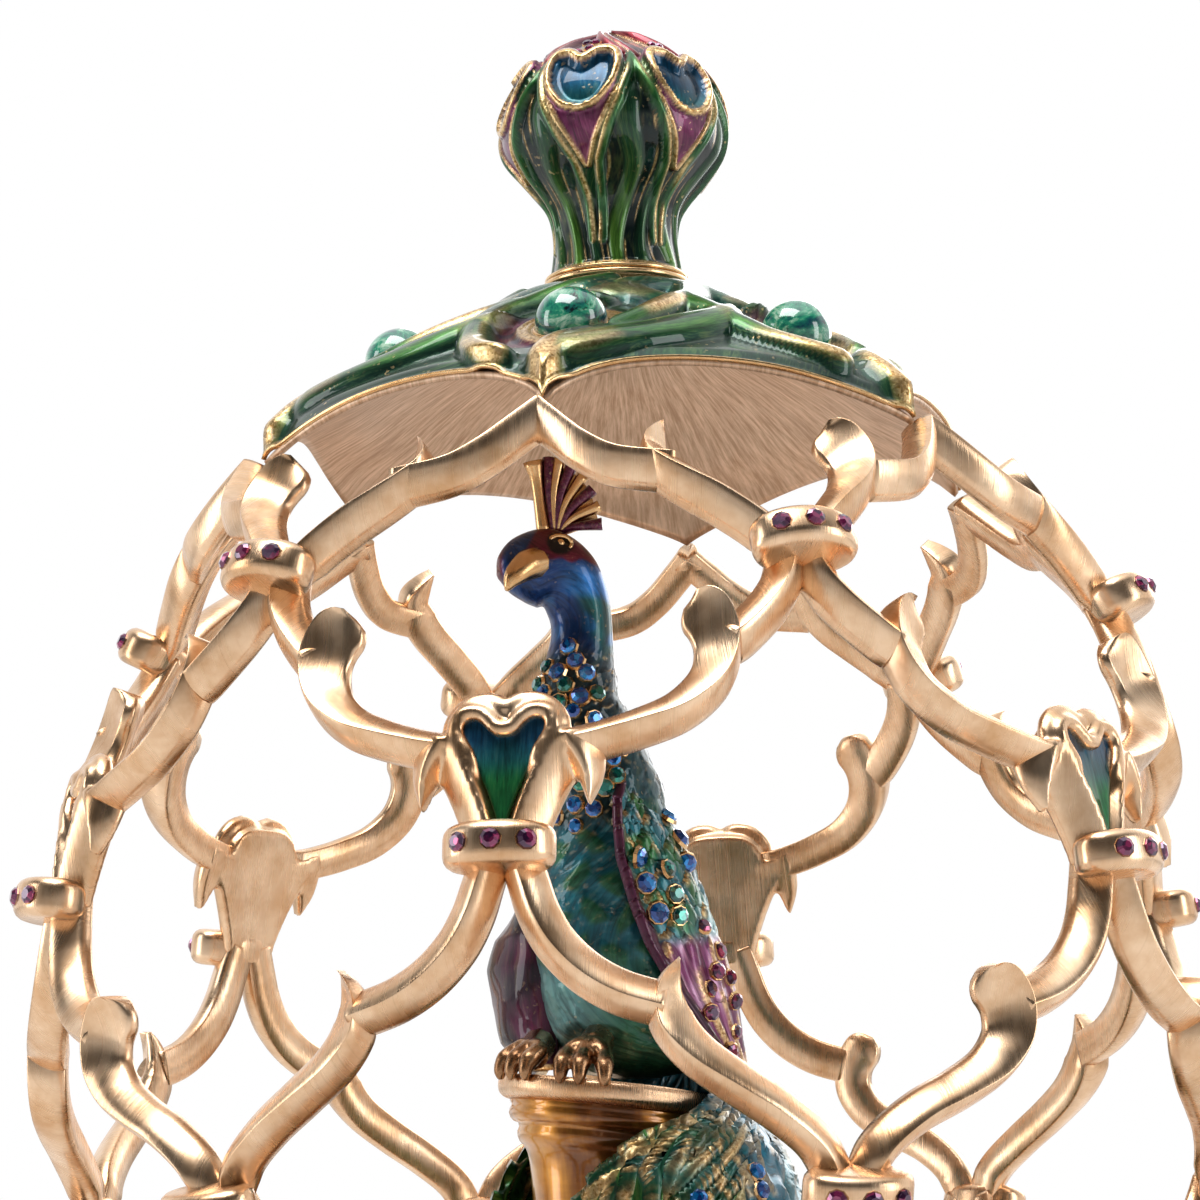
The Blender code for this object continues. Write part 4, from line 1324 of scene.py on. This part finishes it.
# The body's centre line across, away and up, its half sizes across and away, and its tilt in degrees
BODY_ROWS = [
    (5.0, 4.5, 0.8, 3.0, 3.0, 0), (4.4, 4.5, 2.2, 8.6, 8.4, 0), (3.8, 4.3, 7.0, 12.2, 12.0, 0),
    (3.4, 3.4, 16, 13.6, 13.0, 0), (3.2, 2.4, 26, 13.0, 12.6, 0), (1.8, 1.2, 36, 10.2, 10.8, 0),
    (0.4, 0.2, 45, 8.8, 9.2, -2), (-1.9, -0.5, 52.5, 7.7, 8.0, -4), (-2.9, -0.7, 58, 6.3, 6.8, -3),
    (-2.4, -0.4, 63, 5.3, 5.6, 2), (-2.0, 0.0, 67.5, 4.7, 4.9, 0), (-2.3, 0.0, 71.5, 4.8, 4.8, -14),
    (-3.9, -0.8, 75.8, 5.4, 5.2, -44), (-7.4, -2.2, 77.7, 6.1, 5.4, -76), (-11.1, -3.8, 77.3, 5.0, 4.8, -96),
    (-13.5, -4.9, 76.4, 2.9, 3.0, -106), (-14.5, -5.3, 76.0, 0.3, 0.3, -110),
]
BODY_RUNS, BODY_TABLE = rows_table(BODY_ROWS)


def body_place(u, v):
    x, y, z, wide, deep, tilt = (np.interp(v, BODY_RUNS, BODY_TABLE[:, i]) for i in range(6))
    turn = 2 * np.pi * u
    tilt = np.radians(tilt)
    side = wide * np.cos(turn)
    return np.stack([x + side * np.cos(tilt), y + deep * np.sin(turn), z - side * np.sin(tilt)], axis=1)


def scales(s, t, size):
    """Overlapping rounded feathers: nearness to an edge, and height above the one beneath."""
    k = t / size
    row = np.floor(k)
    out_edge, out_rise = np.zeros(s.shape), np.zeros(s.shape)
    for shift in (0, 1):
        r = row + shift
        cell = s / (size * 1.25) + 0.5 * np.mod(r, 2)
        fs = cell - np.floor(cell) - 0.5
        tip = r - 0.55 + 1.3 * (2 * np.abs(fs)) ** 2.4 * 0.5
        over = k - tip
        out_edge = np.maximum(out_edge, np.exp(-((over / 0.13) ** 2)))
        out_rise = np.where((over > 0) & (over < 1.3), 1 - over / 1.3, out_rise)
    return out_edge, out_rise


def body_dress(u, v, p):
    """Teal breast, pale belly, dark neck under the stones, blue above them and a plum mask."""
    x, y, z = p[:, 0], p[:, 1], p[:, 2]
    s = u * 2 * np.pi * np.interp(v, BODY_RUNS, BODY_TABLE[:, 3])
    edge, rise = scales(s, z, 2.7)
    patchy = wobble(x * 0.9, z * 0.7, 2.0)
    fleck = edge * step(wobble(x * 2.3, z * 2.1 + y, 4.0), 0.25, 0.6)
    lift = (0.12 * rise + 0.16 * patchy) * step(-z, -68, -60)
    breast = mix((0.006, 0.11, 0.15), (0.012, 0.10, 0.05), step(patchy, -0.2, 0.5))
    belly = mix((0.10, 0.25, 0.25), (0.02, 0.12, 0.07), step(x, -3.0, 3.5))
    paint = mix(belly, breast, step(z + 1.5 * patchy, 13, 20))
    paint = mix(paint, (0.012, 0.055, 0.07), step(z, 37, 44))
    neck = mix(COBALT, (0.012, 0.10, 0.11), step(x + 0.35 * (z - 60), 0.8, 3.2))
    neck = mix(neck, (0.03, 0.16, 0.42), 0.7 * step(wobble(x, z * 0.6, 5.0), 0.2, 0.8))
    paint = mix(paint, neck, step(z + patchy, 61, 66))
    cheek = mix(COBALT, (0.02, 0.17, 0.50), step(x, -6, -2) * step(-z, -78.5, -75))
    paint = mix(paint, cheek, step(z, 72, 74))
    mask = step(z - 78.4 + 0.6 * wobble(x * 1.5, z), -0.3, 0.3) * step(x + 10.4 - (z - 78.6) * 0.45, -0.4, 0.4)
    brow = step(z, 73, 75) * step(-x, 13.2, 14.0)
    paint = mix(paint, (0.15, 0.012, 0.035), np.clip(mask + brow, 0, 1))
    socket = step(-np.hypot(x + 4.9, z - 80.9), -2.3, -1.7) * step(-y, 2, 3)
    paint = mix(paint, (0.010, 0.003, 0.005), socket)
    ground = step(z, 36, 39) * (1 - step(z, 62, 66)) * (1 - step(x, 2.5, 5.0))
    paint = mix(paint, (0.012, 0.030, 0.045), 0.75 * ground)
    gold = fleck * (0.35 + 0.65 * ground) * (1 - step(z, 62, 67)) * step(z, 18, 30) * 0.45
    flow = np.stack([s * 0.35, z * 0.12, y * 0.3], axis=1)
    return lift, np.c_[paint, gold], flow


# The axis that the wings curve round, across and away at some heights
AXIS_Z = [0, 16, 26, 36, 46]
AXIS_X = [4.6, 4.4, 4.1, 2.7, 1.2]
AXIS_Y = [4.0, 3.2, 2.2, 1.0, 0.2]

# The near wing at some heights: half sizes across and away, and its first and last turn in degrees
WING_Z = [0.5, 4.3, 11.8, 19.3, 25.8, 32.4, 38.0, 41.7, 45.5]
WING_RADIUS = [17.0, 17.2, 16.6, 15.0, 13.1, 11.9, 9.9, 8.1, 4.6]
WING_DEPTH = [15.0, 15.6, 15.8, 15.6, 15.2, 14.4, 13.0, 11.4, 8.2]
WING_LEAD = [-34, -48, -68, -82, -90, -94, -92, -88, -70]
WING_TRAIL = [30, 42, 50, 54, 54, 50, 44, 38, 20]


def wing_place(u, v):
    z = 46.2 - 45.7 * v
    radius, depth = np.interp(z, WING_Z, WING_RADIUS), np.interp(z, WING_Z, WING_DEPTH)
    first, last = np.interp(z, WING_Z, WING_LEAD), np.interp(z, WING_Z, WING_TRAIL)
    turn = np.radians(first + (last - first) * u)
    x, y = np.interp(z, AXIS_Z, AXIS_X), np.interp(z, AXIS_Z, AXIS_Y)
    return np.stack([x + radius * np.cos(turn), y + depth * np.sin(turn), z], axis=1)


def wing_dress(u, v, p):
    """Scales above and lilac quills below, behind a plum leading edge with a gold line."""
    x, z = p[:, 0], p[:, 2]
    s = (u - 0.1) * 31
    edge, rise = scales(s - z * 0.25, z + 0.15 * s, 4.6)
    _, fine_rise = scales(s * 2 + 3, z * 2, 4.3)
    quill = s / 4.3 + 0.5 * np.sin(z * 0.16)
    band = np.abs(quill - np.floor(quill) - 0.5) * 2
    quill_edge = step(band, 0.88, 0.97)
    lower = step(-(z - 0.25 * (x - 12)), -21.5, -18.5)
    pillow = np.clip(1 - (2 * u - 1) ** 6, 0, 1) ** 0.5 * np.clip(1 - (2 * v - 1) ** 14, 0, 1) ** 0.5
    lift = 2.6 * pillow - 0.6
    lift = lift + (1 - lower) * (0.55 * rise + 0.15 * fine_rise) + lower * 0.55 * (1 - band**2)
    tone = wobble(s * 0.5, z * 0.4, 3.0)
    paint = mix((0.008, 0.13, 0.17), (0.02, 0.13, 0.035), step(tone, -0.3, 0.4))
    paint = mix(paint, (0.13, 0.32, 0.34), 0.8 * step(x + 0.3 * (30 - z), 14.5, 18.5))
    # The quills blend at random between plum and a pale lilac; the pale lilac patches are painted highlights.
    lilac = mix((0.20, 0.035, 0.13), (0.48, 0.25, 0.40), step(wobble(s * 0.9, z * 0.35, 6.0), -0.3, 0.6))
    paint = mix(paint, lilac, lower)
    gold = (1 - lower) * edge**2 * step(wobble(x * 1.1, z * 0.9, 7.0), -0.2, 0.35)
    gold = np.maximum(gold, lower * quill_edge * step(wobble(z * 0.7, s, 1.0), -0.6, 0.0) * 0.9)
    rim = u * 31
    stripe_wide = np.interp(z, [4, 18, 26, 34, 40], [1.8, 1.5, 0.8, 0.3, 0.1])
    line = np.exp(-(((rim - stripe_wide - 0.55 - 0.2 * np.sin(z * 0.9)) / 0.4) ** 2))
    gold = np.maximum(gold, line * step(-z, -43, -41))
    stripe = 1 - step(rim, stripe_wide, stripe_wide + 0.2)
    paint = mix(paint, (0.075, 0.009, 0.04), stripe)
    gold = gold * (1 - stripe)
    lift = lift + 0.5 * line
    flow = np.stack([s * 0.7, z * 0.5, s * 0], axis=1)
    return lift, np.c_[paint, np.clip(gold, 0, 1)], flow


FAR_Z = [2.0, 4.0, 6.7, 12.7, 17.9, 22.4, 27.6, 34, 42]
FAR_REACH = [17.2, 19.2, 21.2, 22.6, 22.8, 21.6, 17.2, 13.4, 8.6]


def far_wing_place(u, v):
    z = 43 - 41 * v
    reach = np.interp(z, FAR_Z, FAR_REACH)
    turn = np.radians(205 - 62 * u)
    radius = 12.5 + (reach - 12.5) * np.clip(u * 1.5, 0, 1) ** 0.8
    x = np.interp(z, AXIS_Z, AXIS_X)
    return np.stack([x + radius * np.cos(turn), 4.0 + radius * np.sin(turn), z], axis=1)


def far_wing_dress(u, v, p):
    """Dark plum with a gold edge."""
    z = p[:, 2]
    uneven = wobble(u * 9, z * 0.35, 2.0)
    paint = mix((0.065, 0.006, 0.032), (0.02, 0.004, 0.016), step(uneven, -0.3, 0.7))
    paint = mix(paint, (0.02, 0.12, 0.09), step(z, 26, 32))
    gold = np.maximum(step(u, 0.955, 0.98), step(v, 0.975, 0.99)) * step(wobble(z * 2, u * 9), -0.4, 0.3)
    flow = np.stack([u * 7, z * 0.5, z * 0], axis=1)
    return 0.25 * uneven, np.c_[paint, gold], flow


# The train at some heights: radius in front and at its side, and its first and last turn in degrees
TRAIN_Z = [-66, -46, -28, -18, -13.5, -9.0, -5.7, -1.0, 8.0]
TRAIN_FRONT = [25.5, 22.6, 20.4, 19.4, 18.8, 18.2, 17.8, 16.8, 14.6]
TRAIN_SIDE = [29.6, 29.4, 29.0, 27.6, 26.2, 23.8, 20.2, 17.6, 15.0]
TRAIN_FIRST = [-106, -110, -108, -101, -92, -74, -44, -22, -4]
TRAIN_LAST = [160, 176, 172, 160, 146, 128, 112, 96, 60]


def train_place(u, v):
    z = 8 - 74 * v
    first, last = np.interp(z, TRAIN_Z, TRAIN_FIRST), np.interp(z, TRAIN_Z, TRAIN_LAST)
    turn = np.radians(first + (last - first) * u)
    side = np.clip((1 + np.cos(turn - 0.15)) / 2, 0, 1) ** 1.2
    radius = np.interp(z, TRAIN_Z, TRAIN_FRONT) * (1 - side) + np.interp(z, TRAIN_Z, TRAIN_SIDE) * side
    radius = radius - 1.6 * step(np.degrees(turn), 110, 150)
    return np.stack([radius * np.cos(turn), radius * np.sin(turn), z], axis=1)


def train_dress(u, v, p):
    """Feathers with slanting leaf-like barbs, each outlined in gold, and an eye on each feather."""
    z = p[:, 2]
    feather = u * 5 + 0.12 * np.sin(z * 0.12)
    middle = feather - np.floor(feather) - 0.5
    wide = np.interp(z, [-66, -28, -8, 8], [26, 22, 16, 8])
    away = np.abs(middle) * wide
    barb = (-z + 1.7 * away) / 5.4 + 0.3 * np.sin(feather * 9) + 0.25 * np.sin(away * 0.9)
    leaf = np.abs(barb - np.floor(barb) - 0.5) * 2
    tip = 0.88 + 0.14 * np.sin(away * 0.8 + np.floor(barb) * 1.7)
    rib = np.exp(-((away / 0.55) ** 2))
    border = step(np.abs(middle) * 2, 0.93, 0.98)
    lift = 1.0 * np.sqrt(np.clip(1 - leaf**2, 0, 1)) + 0.6 * rib + 0.6 * (1 - (np.abs(middle) * 2) ** 4)
    paint = mix((0.035, 0.17, 0.03), (0.008, 0.075, 0.035), step(leaf, 0.1, 0.9))
    paint = mix(paint, (0.010, 0.10, 0.10), 0.6 * step(wobble(feather * 3, z * 0.3, 5.0), 0.1, 0.6))
    blue = np.clip(step(z, -9, -4) + step(p[:, 0], 17, 21) * step(z, -30, -22), 0, 1)
    paint = mix(paint, (0.006, 0.13, 0.21), blue)
    paint = mix(paint, (0.10, 0.28, 0.32), 0.8 * step(p[:, 0], 24, 27) * blue)
    gold = step(leaf, tip, tip + 0.12) * step(away, 0.8, 2.2) * 0.85
    gold = np.clip(np.maximum(np.maximum(gold, 0.5 * rib), 0.6 * border), 0, 1) * (1 - 0.55 * blue)
    eye_z = -26 - 14 * np.mod(np.floor(feather), 2)
    spot = np.hypot(away, (z - eye_z) * 0.8)
    paint = mix(paint, (0.006, 0.12, 0.30), 1 - step(spot, 2.2, 2.8))
    ring = np.exp(-(((spot - 3.3) / 0.5) ** 2))
    gold = np.maximum(gold * step(spot, 3.0, 3.8), ring)
    lift = lift + 0.4 * ring
    fade = step(-z, -3, 4)
    gold = gold * fade
    flow = np.stack([leaf * 2.0, away + z * 0.3, z * 0.1], axis=1)
    return (lift - 0.8) * fade, np.c_[paint, np.clip(gold, 0, 1)], flow


def stones_on(mesh, spots, size, name, finish):
    """Sets crystals on a surface at places seen from the front."""
    bm = bmesh.new()
    bm.from_mesh(mesh)
    tree = BVHTree.FromBMesh(bm)
    bm.free()
    bm = bmesh.new()
    rng = random.Random(5)
    for x, z in spots:
        place, normal, *_ = tree.ray_cast(Vector((x, -60, z)), Vector((0, 1, 0)))
        if place is None:
            continue
        if normal.y > 0:
            normal = -normal
        set_stone(bm, place + normal * 0.1, normal, size * rng.uniform(0.86, 1.08))
    figure_piece(name, to_mesh(bm, name), [finish, bright_gilt], [], True)


# Places of the stones, across and up from the plate
NECK_SAPPHIRES = [
    (-3.9, 65.1), (-2.9, 62.7), (-1.4, 60.8), (-5.6, 61.1), (-7.7, 58.1), (-2.4, 57.0), (-3.4, 54.9), (-0.4, 53.6),
    (-7.1, 55.0), (-5.6, 52.2), (1.6, 50.6), (-8.2, 51.6), (-2.6, 50.0), (2.3, 47.5), (-0.6, 40.0), (-3.4, 40.8),
    (-3.4, 37.6), (-6.1, 39.3), (3.7, 49.1), (-6.6, 46.4), (-0.6, 46.6), (-4.4, 47.2),
]
NECK_EMERALDS = [
    (-4.5, 59.0), (0.1, 57.6), (-5.4, 56.4), (1.0, 43.1), (2.8, 44.9), (-2.4, 44.0), (-5.8, 43.2), (-7.1, 62.3),
    (-8.4, 59.6),
]
WING_SAPPHIRES = [
    (10.06, 39.1), (5.7, 32.3), (6.7, 28.5), (8.4, 24.1), (12.8, 32.1), (11.8, 35.8), (16.2, 29.4), (17.9, 25.0),
]
WING_EMERALDS = [(10.0, 30.7), (11.0, 27.0), (11.5, 23.8), (14.2, 37.0), (15.6, 33.6)]
WING_AMETHYSTS = [
    (15.1, 22.4), (15.8, 13.1), (15.9, 9.6), (17.0, 15.8), (18.6, 4.1), (19.6, 11.6), (19.6, 7.0), (18.9, 15.1),
    (17.4, 19.0),
]
TRAIN_SAPPHIRES = [
    (21.6, -14.1), (22.2, -16.7), (13.1, -17.9), (18.6, -24.0), (9.0, -28.0), (-2.0, -26.0), (24.5, -30.0),
    (15.0, -38.0),
]


def build_bird():
    body = draped("body", 210, 380, body_place, body_dress, closed=True)
    near = draped("near wing", 160, 250, wing_place, wing_dress, wall=1.4)
    far = draped("far wing", 80, 120, far_wing_place, far_wing_dress, wall=1.4)
    train = draped("train", 360, 130, train_place, train_dress, wall=1.6)
    stones_on(body, NECK_SAPPHIRES, 1.3, "neck_sapphires", sapphire)
    stones_on(body, NECK_EMERALDS, 1.25, "neck_emeralds", emerald)
    stones_on(near, WING_SAPPHIRES, 1.5, "wing_sapphires", sapphire)
    stones_on(near, WING_EMERALDS, 1.35, "wing_emeralds", emerald)
    stones_on(near, WING_AMETHYSTS, 1.2, "wing_amethysts", amethyst)
    stones_on(train, TRAIN_SAPPHIRES, 1.35, "train_sapphires", sapphire)
    figure_piece("bird_body", body, [bird_enamel], ["peacock"])
    for name, mesh in (("near_wing", near), ("far_wing", far), ("train", train)):
        figure_piece(name, mesh, [bird_enamel], [])


def build_head():
    """Beak, eyes and the fan of the crest."""
    bm = bmesh.new()
    beak = [(-8.4, -5.4, 78.0), (-10.2, -8.0, 77.0), (-12.0, -9.8, 75.0), (-13.0, -10.4, 73.0)]
    radii = [2.7, 2.65, 2.6, 2.5, 2.35, 2.15, 1.95, 1.75, 1.5, 1.25, 0.95, 0.65, 0.3]
    tube(bm, smooth_line(beak, 4), radii, 12)
    for middle in (Vector((-4.9, -5.4, 80.9)), Vector((-8.2, 3.2, 80.9))):
        ring = [middle + Vector((1.7 * p.x, 0.5 * p.x - 0.2, 1.2 * p.y)) for p in level_ring(1.0, 0.0, 16)]
        tube(bm, ring, 0.34, 6, closed=True)
        bmesh.ops.create_icosphere(bm, subdivisions=2, radius=0.75, matrix=Matrix.Translation(middle))
    right_way_out(bm)
    figure_piece("beak_and_eyes", to_mesh(bm, "beak"), [bright_gilt], [])
    gold_ribs, plum_ribs = bmesh.new(), bmesh.new()
    foot = Vector((-6.0, -2.0, 83.0))
    stalk = [(-7.4, -2.4, 82.6), (-7.9, -2.4, 87.0), (-8.3, -2.4, 91.2), (-8.8, -2.6, 94.2)]
    tube(gold_ribs, smooth_line(stalk, 3), [1.1, 1.0, 0.95, 0.9, 0.9, 0.95, 1.0, 1.15, 1.4, 1.6], 10)
    ends = [(-6.4, 94.8), (-4.8, 94.6), (-2.9, 93.6), (-1.2, 91.8), (0.2, 89.6), (1.2, 87.0), (1.5, 84.2)]
    for i, (x, z) in enumerate(ends):
        tip = Vector((x, -2.2 - 0.12 * i, z))
        bend = foot.lerp(tip, 0.5) + Vector((-0.35, -0.25, 0.3))
        line = smooth_line([foot + Vector((0.22 * i, 0, 0.06 * i)), bend, tip], 5)
        bars = [0.45 + 0.55 * (k / (len(line) - 1)) ** 1.5 for k in range(len(line))]
        tube(plum_ribs if i % 2 == 0 else gold_ribs, line, bars, 8)
    back = [(-7.4, 83.2), (-8.4, 93.6), (-6.4, 93.9), (-3.0, 92.8), (-0.2, 89.6), (1.0, 84.6), (-4.2, 82.9)]
    loft(gold_ribs, [[Vector((x, y, z)) for x, z in back] for y in (-2.2, -1.2)])
    for bm, name, finish in ((gold_ribs, "crest_gold", bright_gilt), (plum_ribs, "crest_plum", enamel)):
        right_way_out(bm)
        mesh = plain_paint(to_mesh(bm, name), PLUM)
        figure_piece(name, mesh, [finish], [])


def build_feet():
    """Knuckled, clawed toes over the edge of the plate."""
    bm = bmesh.new()
    for ankle, toes in (
        ((-10.6, -6.8, 4.6), [(-14.9, -6.6), (-13.3, -9.2), (-11.2, -11.4)]),
        ((-1.6, -9.8, 5.2), [(-6.2, -13.9), (-3.5, -15.0), (0.1, -15.5)]),
    ):
        ankle = Vector(ankle)
        tube(bm, [ankle + Vector((1.0, 4.5, 1.2)), ankle - Vector((0, 0, 0.6))], [2.6, 2.5], 10)
        for x, y in toes:
            drop = -x * math.tan(math.radians(PLATE_TILT))
            out = Vector((x, y, 0)).normalized()
            knuckle = Vector((x, y, 2.0 + drop)) - out * 2.6
            line = [ankle, ankle.lerp(knuckle, 0.55) + Vector((0, 0, 1.0)), knuckle + Vector((0, 0, 1.2))]
            line += [Vector((x, y, 1.6 + drop)) - out * 0.4, Vector((x, y, 0.1 + drop)) + out * 0.4]
            line += [Vector((x, y, -1.4 + drop)) + out * 0.5]
            line = smooth_line(line, 4)
            shares = np.linspace(0, 1, len(line))
            bars = np.interp(shares, [0, 0.4, 0.58, 0.7, 0.85, 1], [1.7, 1.3, 1.55, 1.25, 1.05, 0.45])
            tube(bm, line, bars.tolist(), 9)
    mesh = cast_smooth(bm, "feet", 0.3, 2)
    figure_piece("clawed_feet", mesh, [old_gilt], [])


def build_pedestal():
    """Plate with a gilt rim on a lacquered column, tipped towards the right."""
    lean = math.tan(math.radians(PLATE_TILT))
    shape = [
        (0, 0), (14.2, 0), (15.4, -0.1), (15.9, -0.9), (15.9, -2.3), (15.3, -3.1), (14.3, -3.4), (14.0, -4.2),
        (14.5, -5.3), (14.0, -6.5), (12.9, -7.0), (13.3, -8.2), (12.9, -9.4), (11.9, -10.4), (11.4, -13),
        (11.0, -20), (10.6, -40), (10.8, -60), (11.4, -66), (13.3, -70), (13.4, -77.3), (0, -77.3),
    ]
    for name, part, finish, nodes in (
        ("gilt_plate", shape[:7] + [(12.0, -3.5), (0, -3.5)], gilt, ["pedestal"]),
        ("lacquered_column", [(0, -3.3), (12.0, -3.3)] + shape[6:], amber, []),
    ):
        mesh = turned_sheet(name, 128, 150, profile_place(part, 6), undressed)
        p = points_of(mesh)
        p[:, 2] -= p[:, 0] * lean * (1 - step(-p[:, 2], 7, 18)) + PLATE_DROP
        mesh.vertices.foreach_set("co", p.ravel())
        figure_piece(name, mesh, [finish], nodes)


build_bird()
build_head()
build_feet()
build_pedestal()


# Floor, lights and camera

def build_stage():
    """Pale floor, a studio that is white behind and dim in front, and four soft boxes."""
    bm = bmesh.new()
    bmesh.ops.create_grid(bm, x_segments=2, y_segments=2, size=3.0)
    floor_finish = Finish("pale floor")
    grain = floor_finish.noise(floor_finish.objects(), 40.0, 3.0)
    tone = floor_finish.colour(grain, (0.66, 0.65, 0.64), (0.62, 0.61, 0.60))
    bmesh.ops.translate(bm, verts=bm.verts[:], vec=(0, 0, -0.0002))
    mesh = to_mesh(bm, "floor")
    mesh.materials.append(floor_finish.set(Base=tone, Roughness=0.55))
    floor = bpy.data.objects.new("floor", mesh)
    scene = bpy.context.scene
    scene.collection.objects.link(floor)

    scene.view_settings.view_transform = "Standard"
    world = bpy.data.worlds.new("studio")
    scene.world = world
    world.use_nodes = True
    tree = world.node_tree
    place = tree.nodes.new("ShaderNodeTexCoord")
    split = tree.nodes.new("ShaderNodeSeparateXYZ")
    tree.links.new(place.outputs["Generated"], split.inputs[0])
    across = Value(tree, split.outputs[0])
    away = Value(tree, split.outputs[1])
    high = Value(tree, split.outputs[2])
    back = away.stretch(0.05, 0.4)
    front = 0.50 - high.stretch(0.08, 0.26) * 0.46 + high.stretch(0.76, 0.94) * 1.5
    front = front + (across * across).stretch(0.5, 0.85) * 0.25
    shade = (front * (1.0 - back) + back).math("MAXIMUM", 0.03)
    tree.links.new(shade.socket, tree.nodes["Background"].inputs["Strength"])
    tree.nodes["Background"].inputs["Color"].default_value = (1, 1, 1, 1)

    # Soft boxes in metres: name, place, height aimed at, size and watts
    for name, place, aim_z, size, power in (
        ("key light", (-0.15, -0.30, 1.10), 0.18, (0.7, 0.5), 8.0),
        ("left light", (-1.0, -0.30, 0.40), 0.18, (0.3, 0.8), 3.0),
        ("right light", (1.0, -0.20, 0.40), 0.18, (0.3, 0.8), 3.0),
        ("back light", (0.2, 0.9, 0.6), 0.2, (0.9, 0.6), 4.0),
    ):
        light = bpy.data.lights.new(name, "AREA")
        light.shape = "RECTANGLE"
        light.size, light.size_y = size
        light.energy = power
        lamp = bpy.data.objects.new(name, light)
        lamp.location = place
        aim = Vector((0, 0, aim_z)) - Vector(place)
        lamp.rotation_euler = aim.to_track_quat("-Z", "Y").to_euler()
        scene.collection.objects.link(lamp)


def build_camera():
    """The photograph's view: from the right of the front, level with the lower part, looking up."""
    azimuth, yaw, pitch, roll = (math.radians(a) for a in (11.07, -0.36, 9.75, 1.32))
    distance, height = 0.5894, 0.114
    toward = Vector((math.sin(azimuth), -math.cos(azimuth), 0))
    level_right = Vector((math.cos(azimuth), math.sin(azimuth), 0))
    ahead = (level_right * math.sin(yaw) - toward * math.cos(yaw)) * math.cos(pitch)
    ahead.z += math.sin(pitch)
    right = ahead.cross(Vector((0, 0, 1))).normalized()
    up = right.cross(ahead)
    leant_right = right * math.cos(roll) - up * math.sin(roll)
    leant_up = right * math.sin(roll) + up * math.cos(roll)
    lens = bpy.data.cameras.new("camera")
    lens.sensor_width = 36.0
    lens.lens = 117.9
    lens.clip_start = 0.01
    camera = bpy.data.objects.new("camera", lens)
    turn = Matrix((leant_right, leant_up, -ahead)).transposed().to_4x4()
    turn.translation = toward * distance + Vector((0, 0, height))
    camera.matrix_world = turn
    bpy.context.scene.collection.objects.link(camera)
    bpy.context.scene.camera = camera


build_stage()
build_camera()
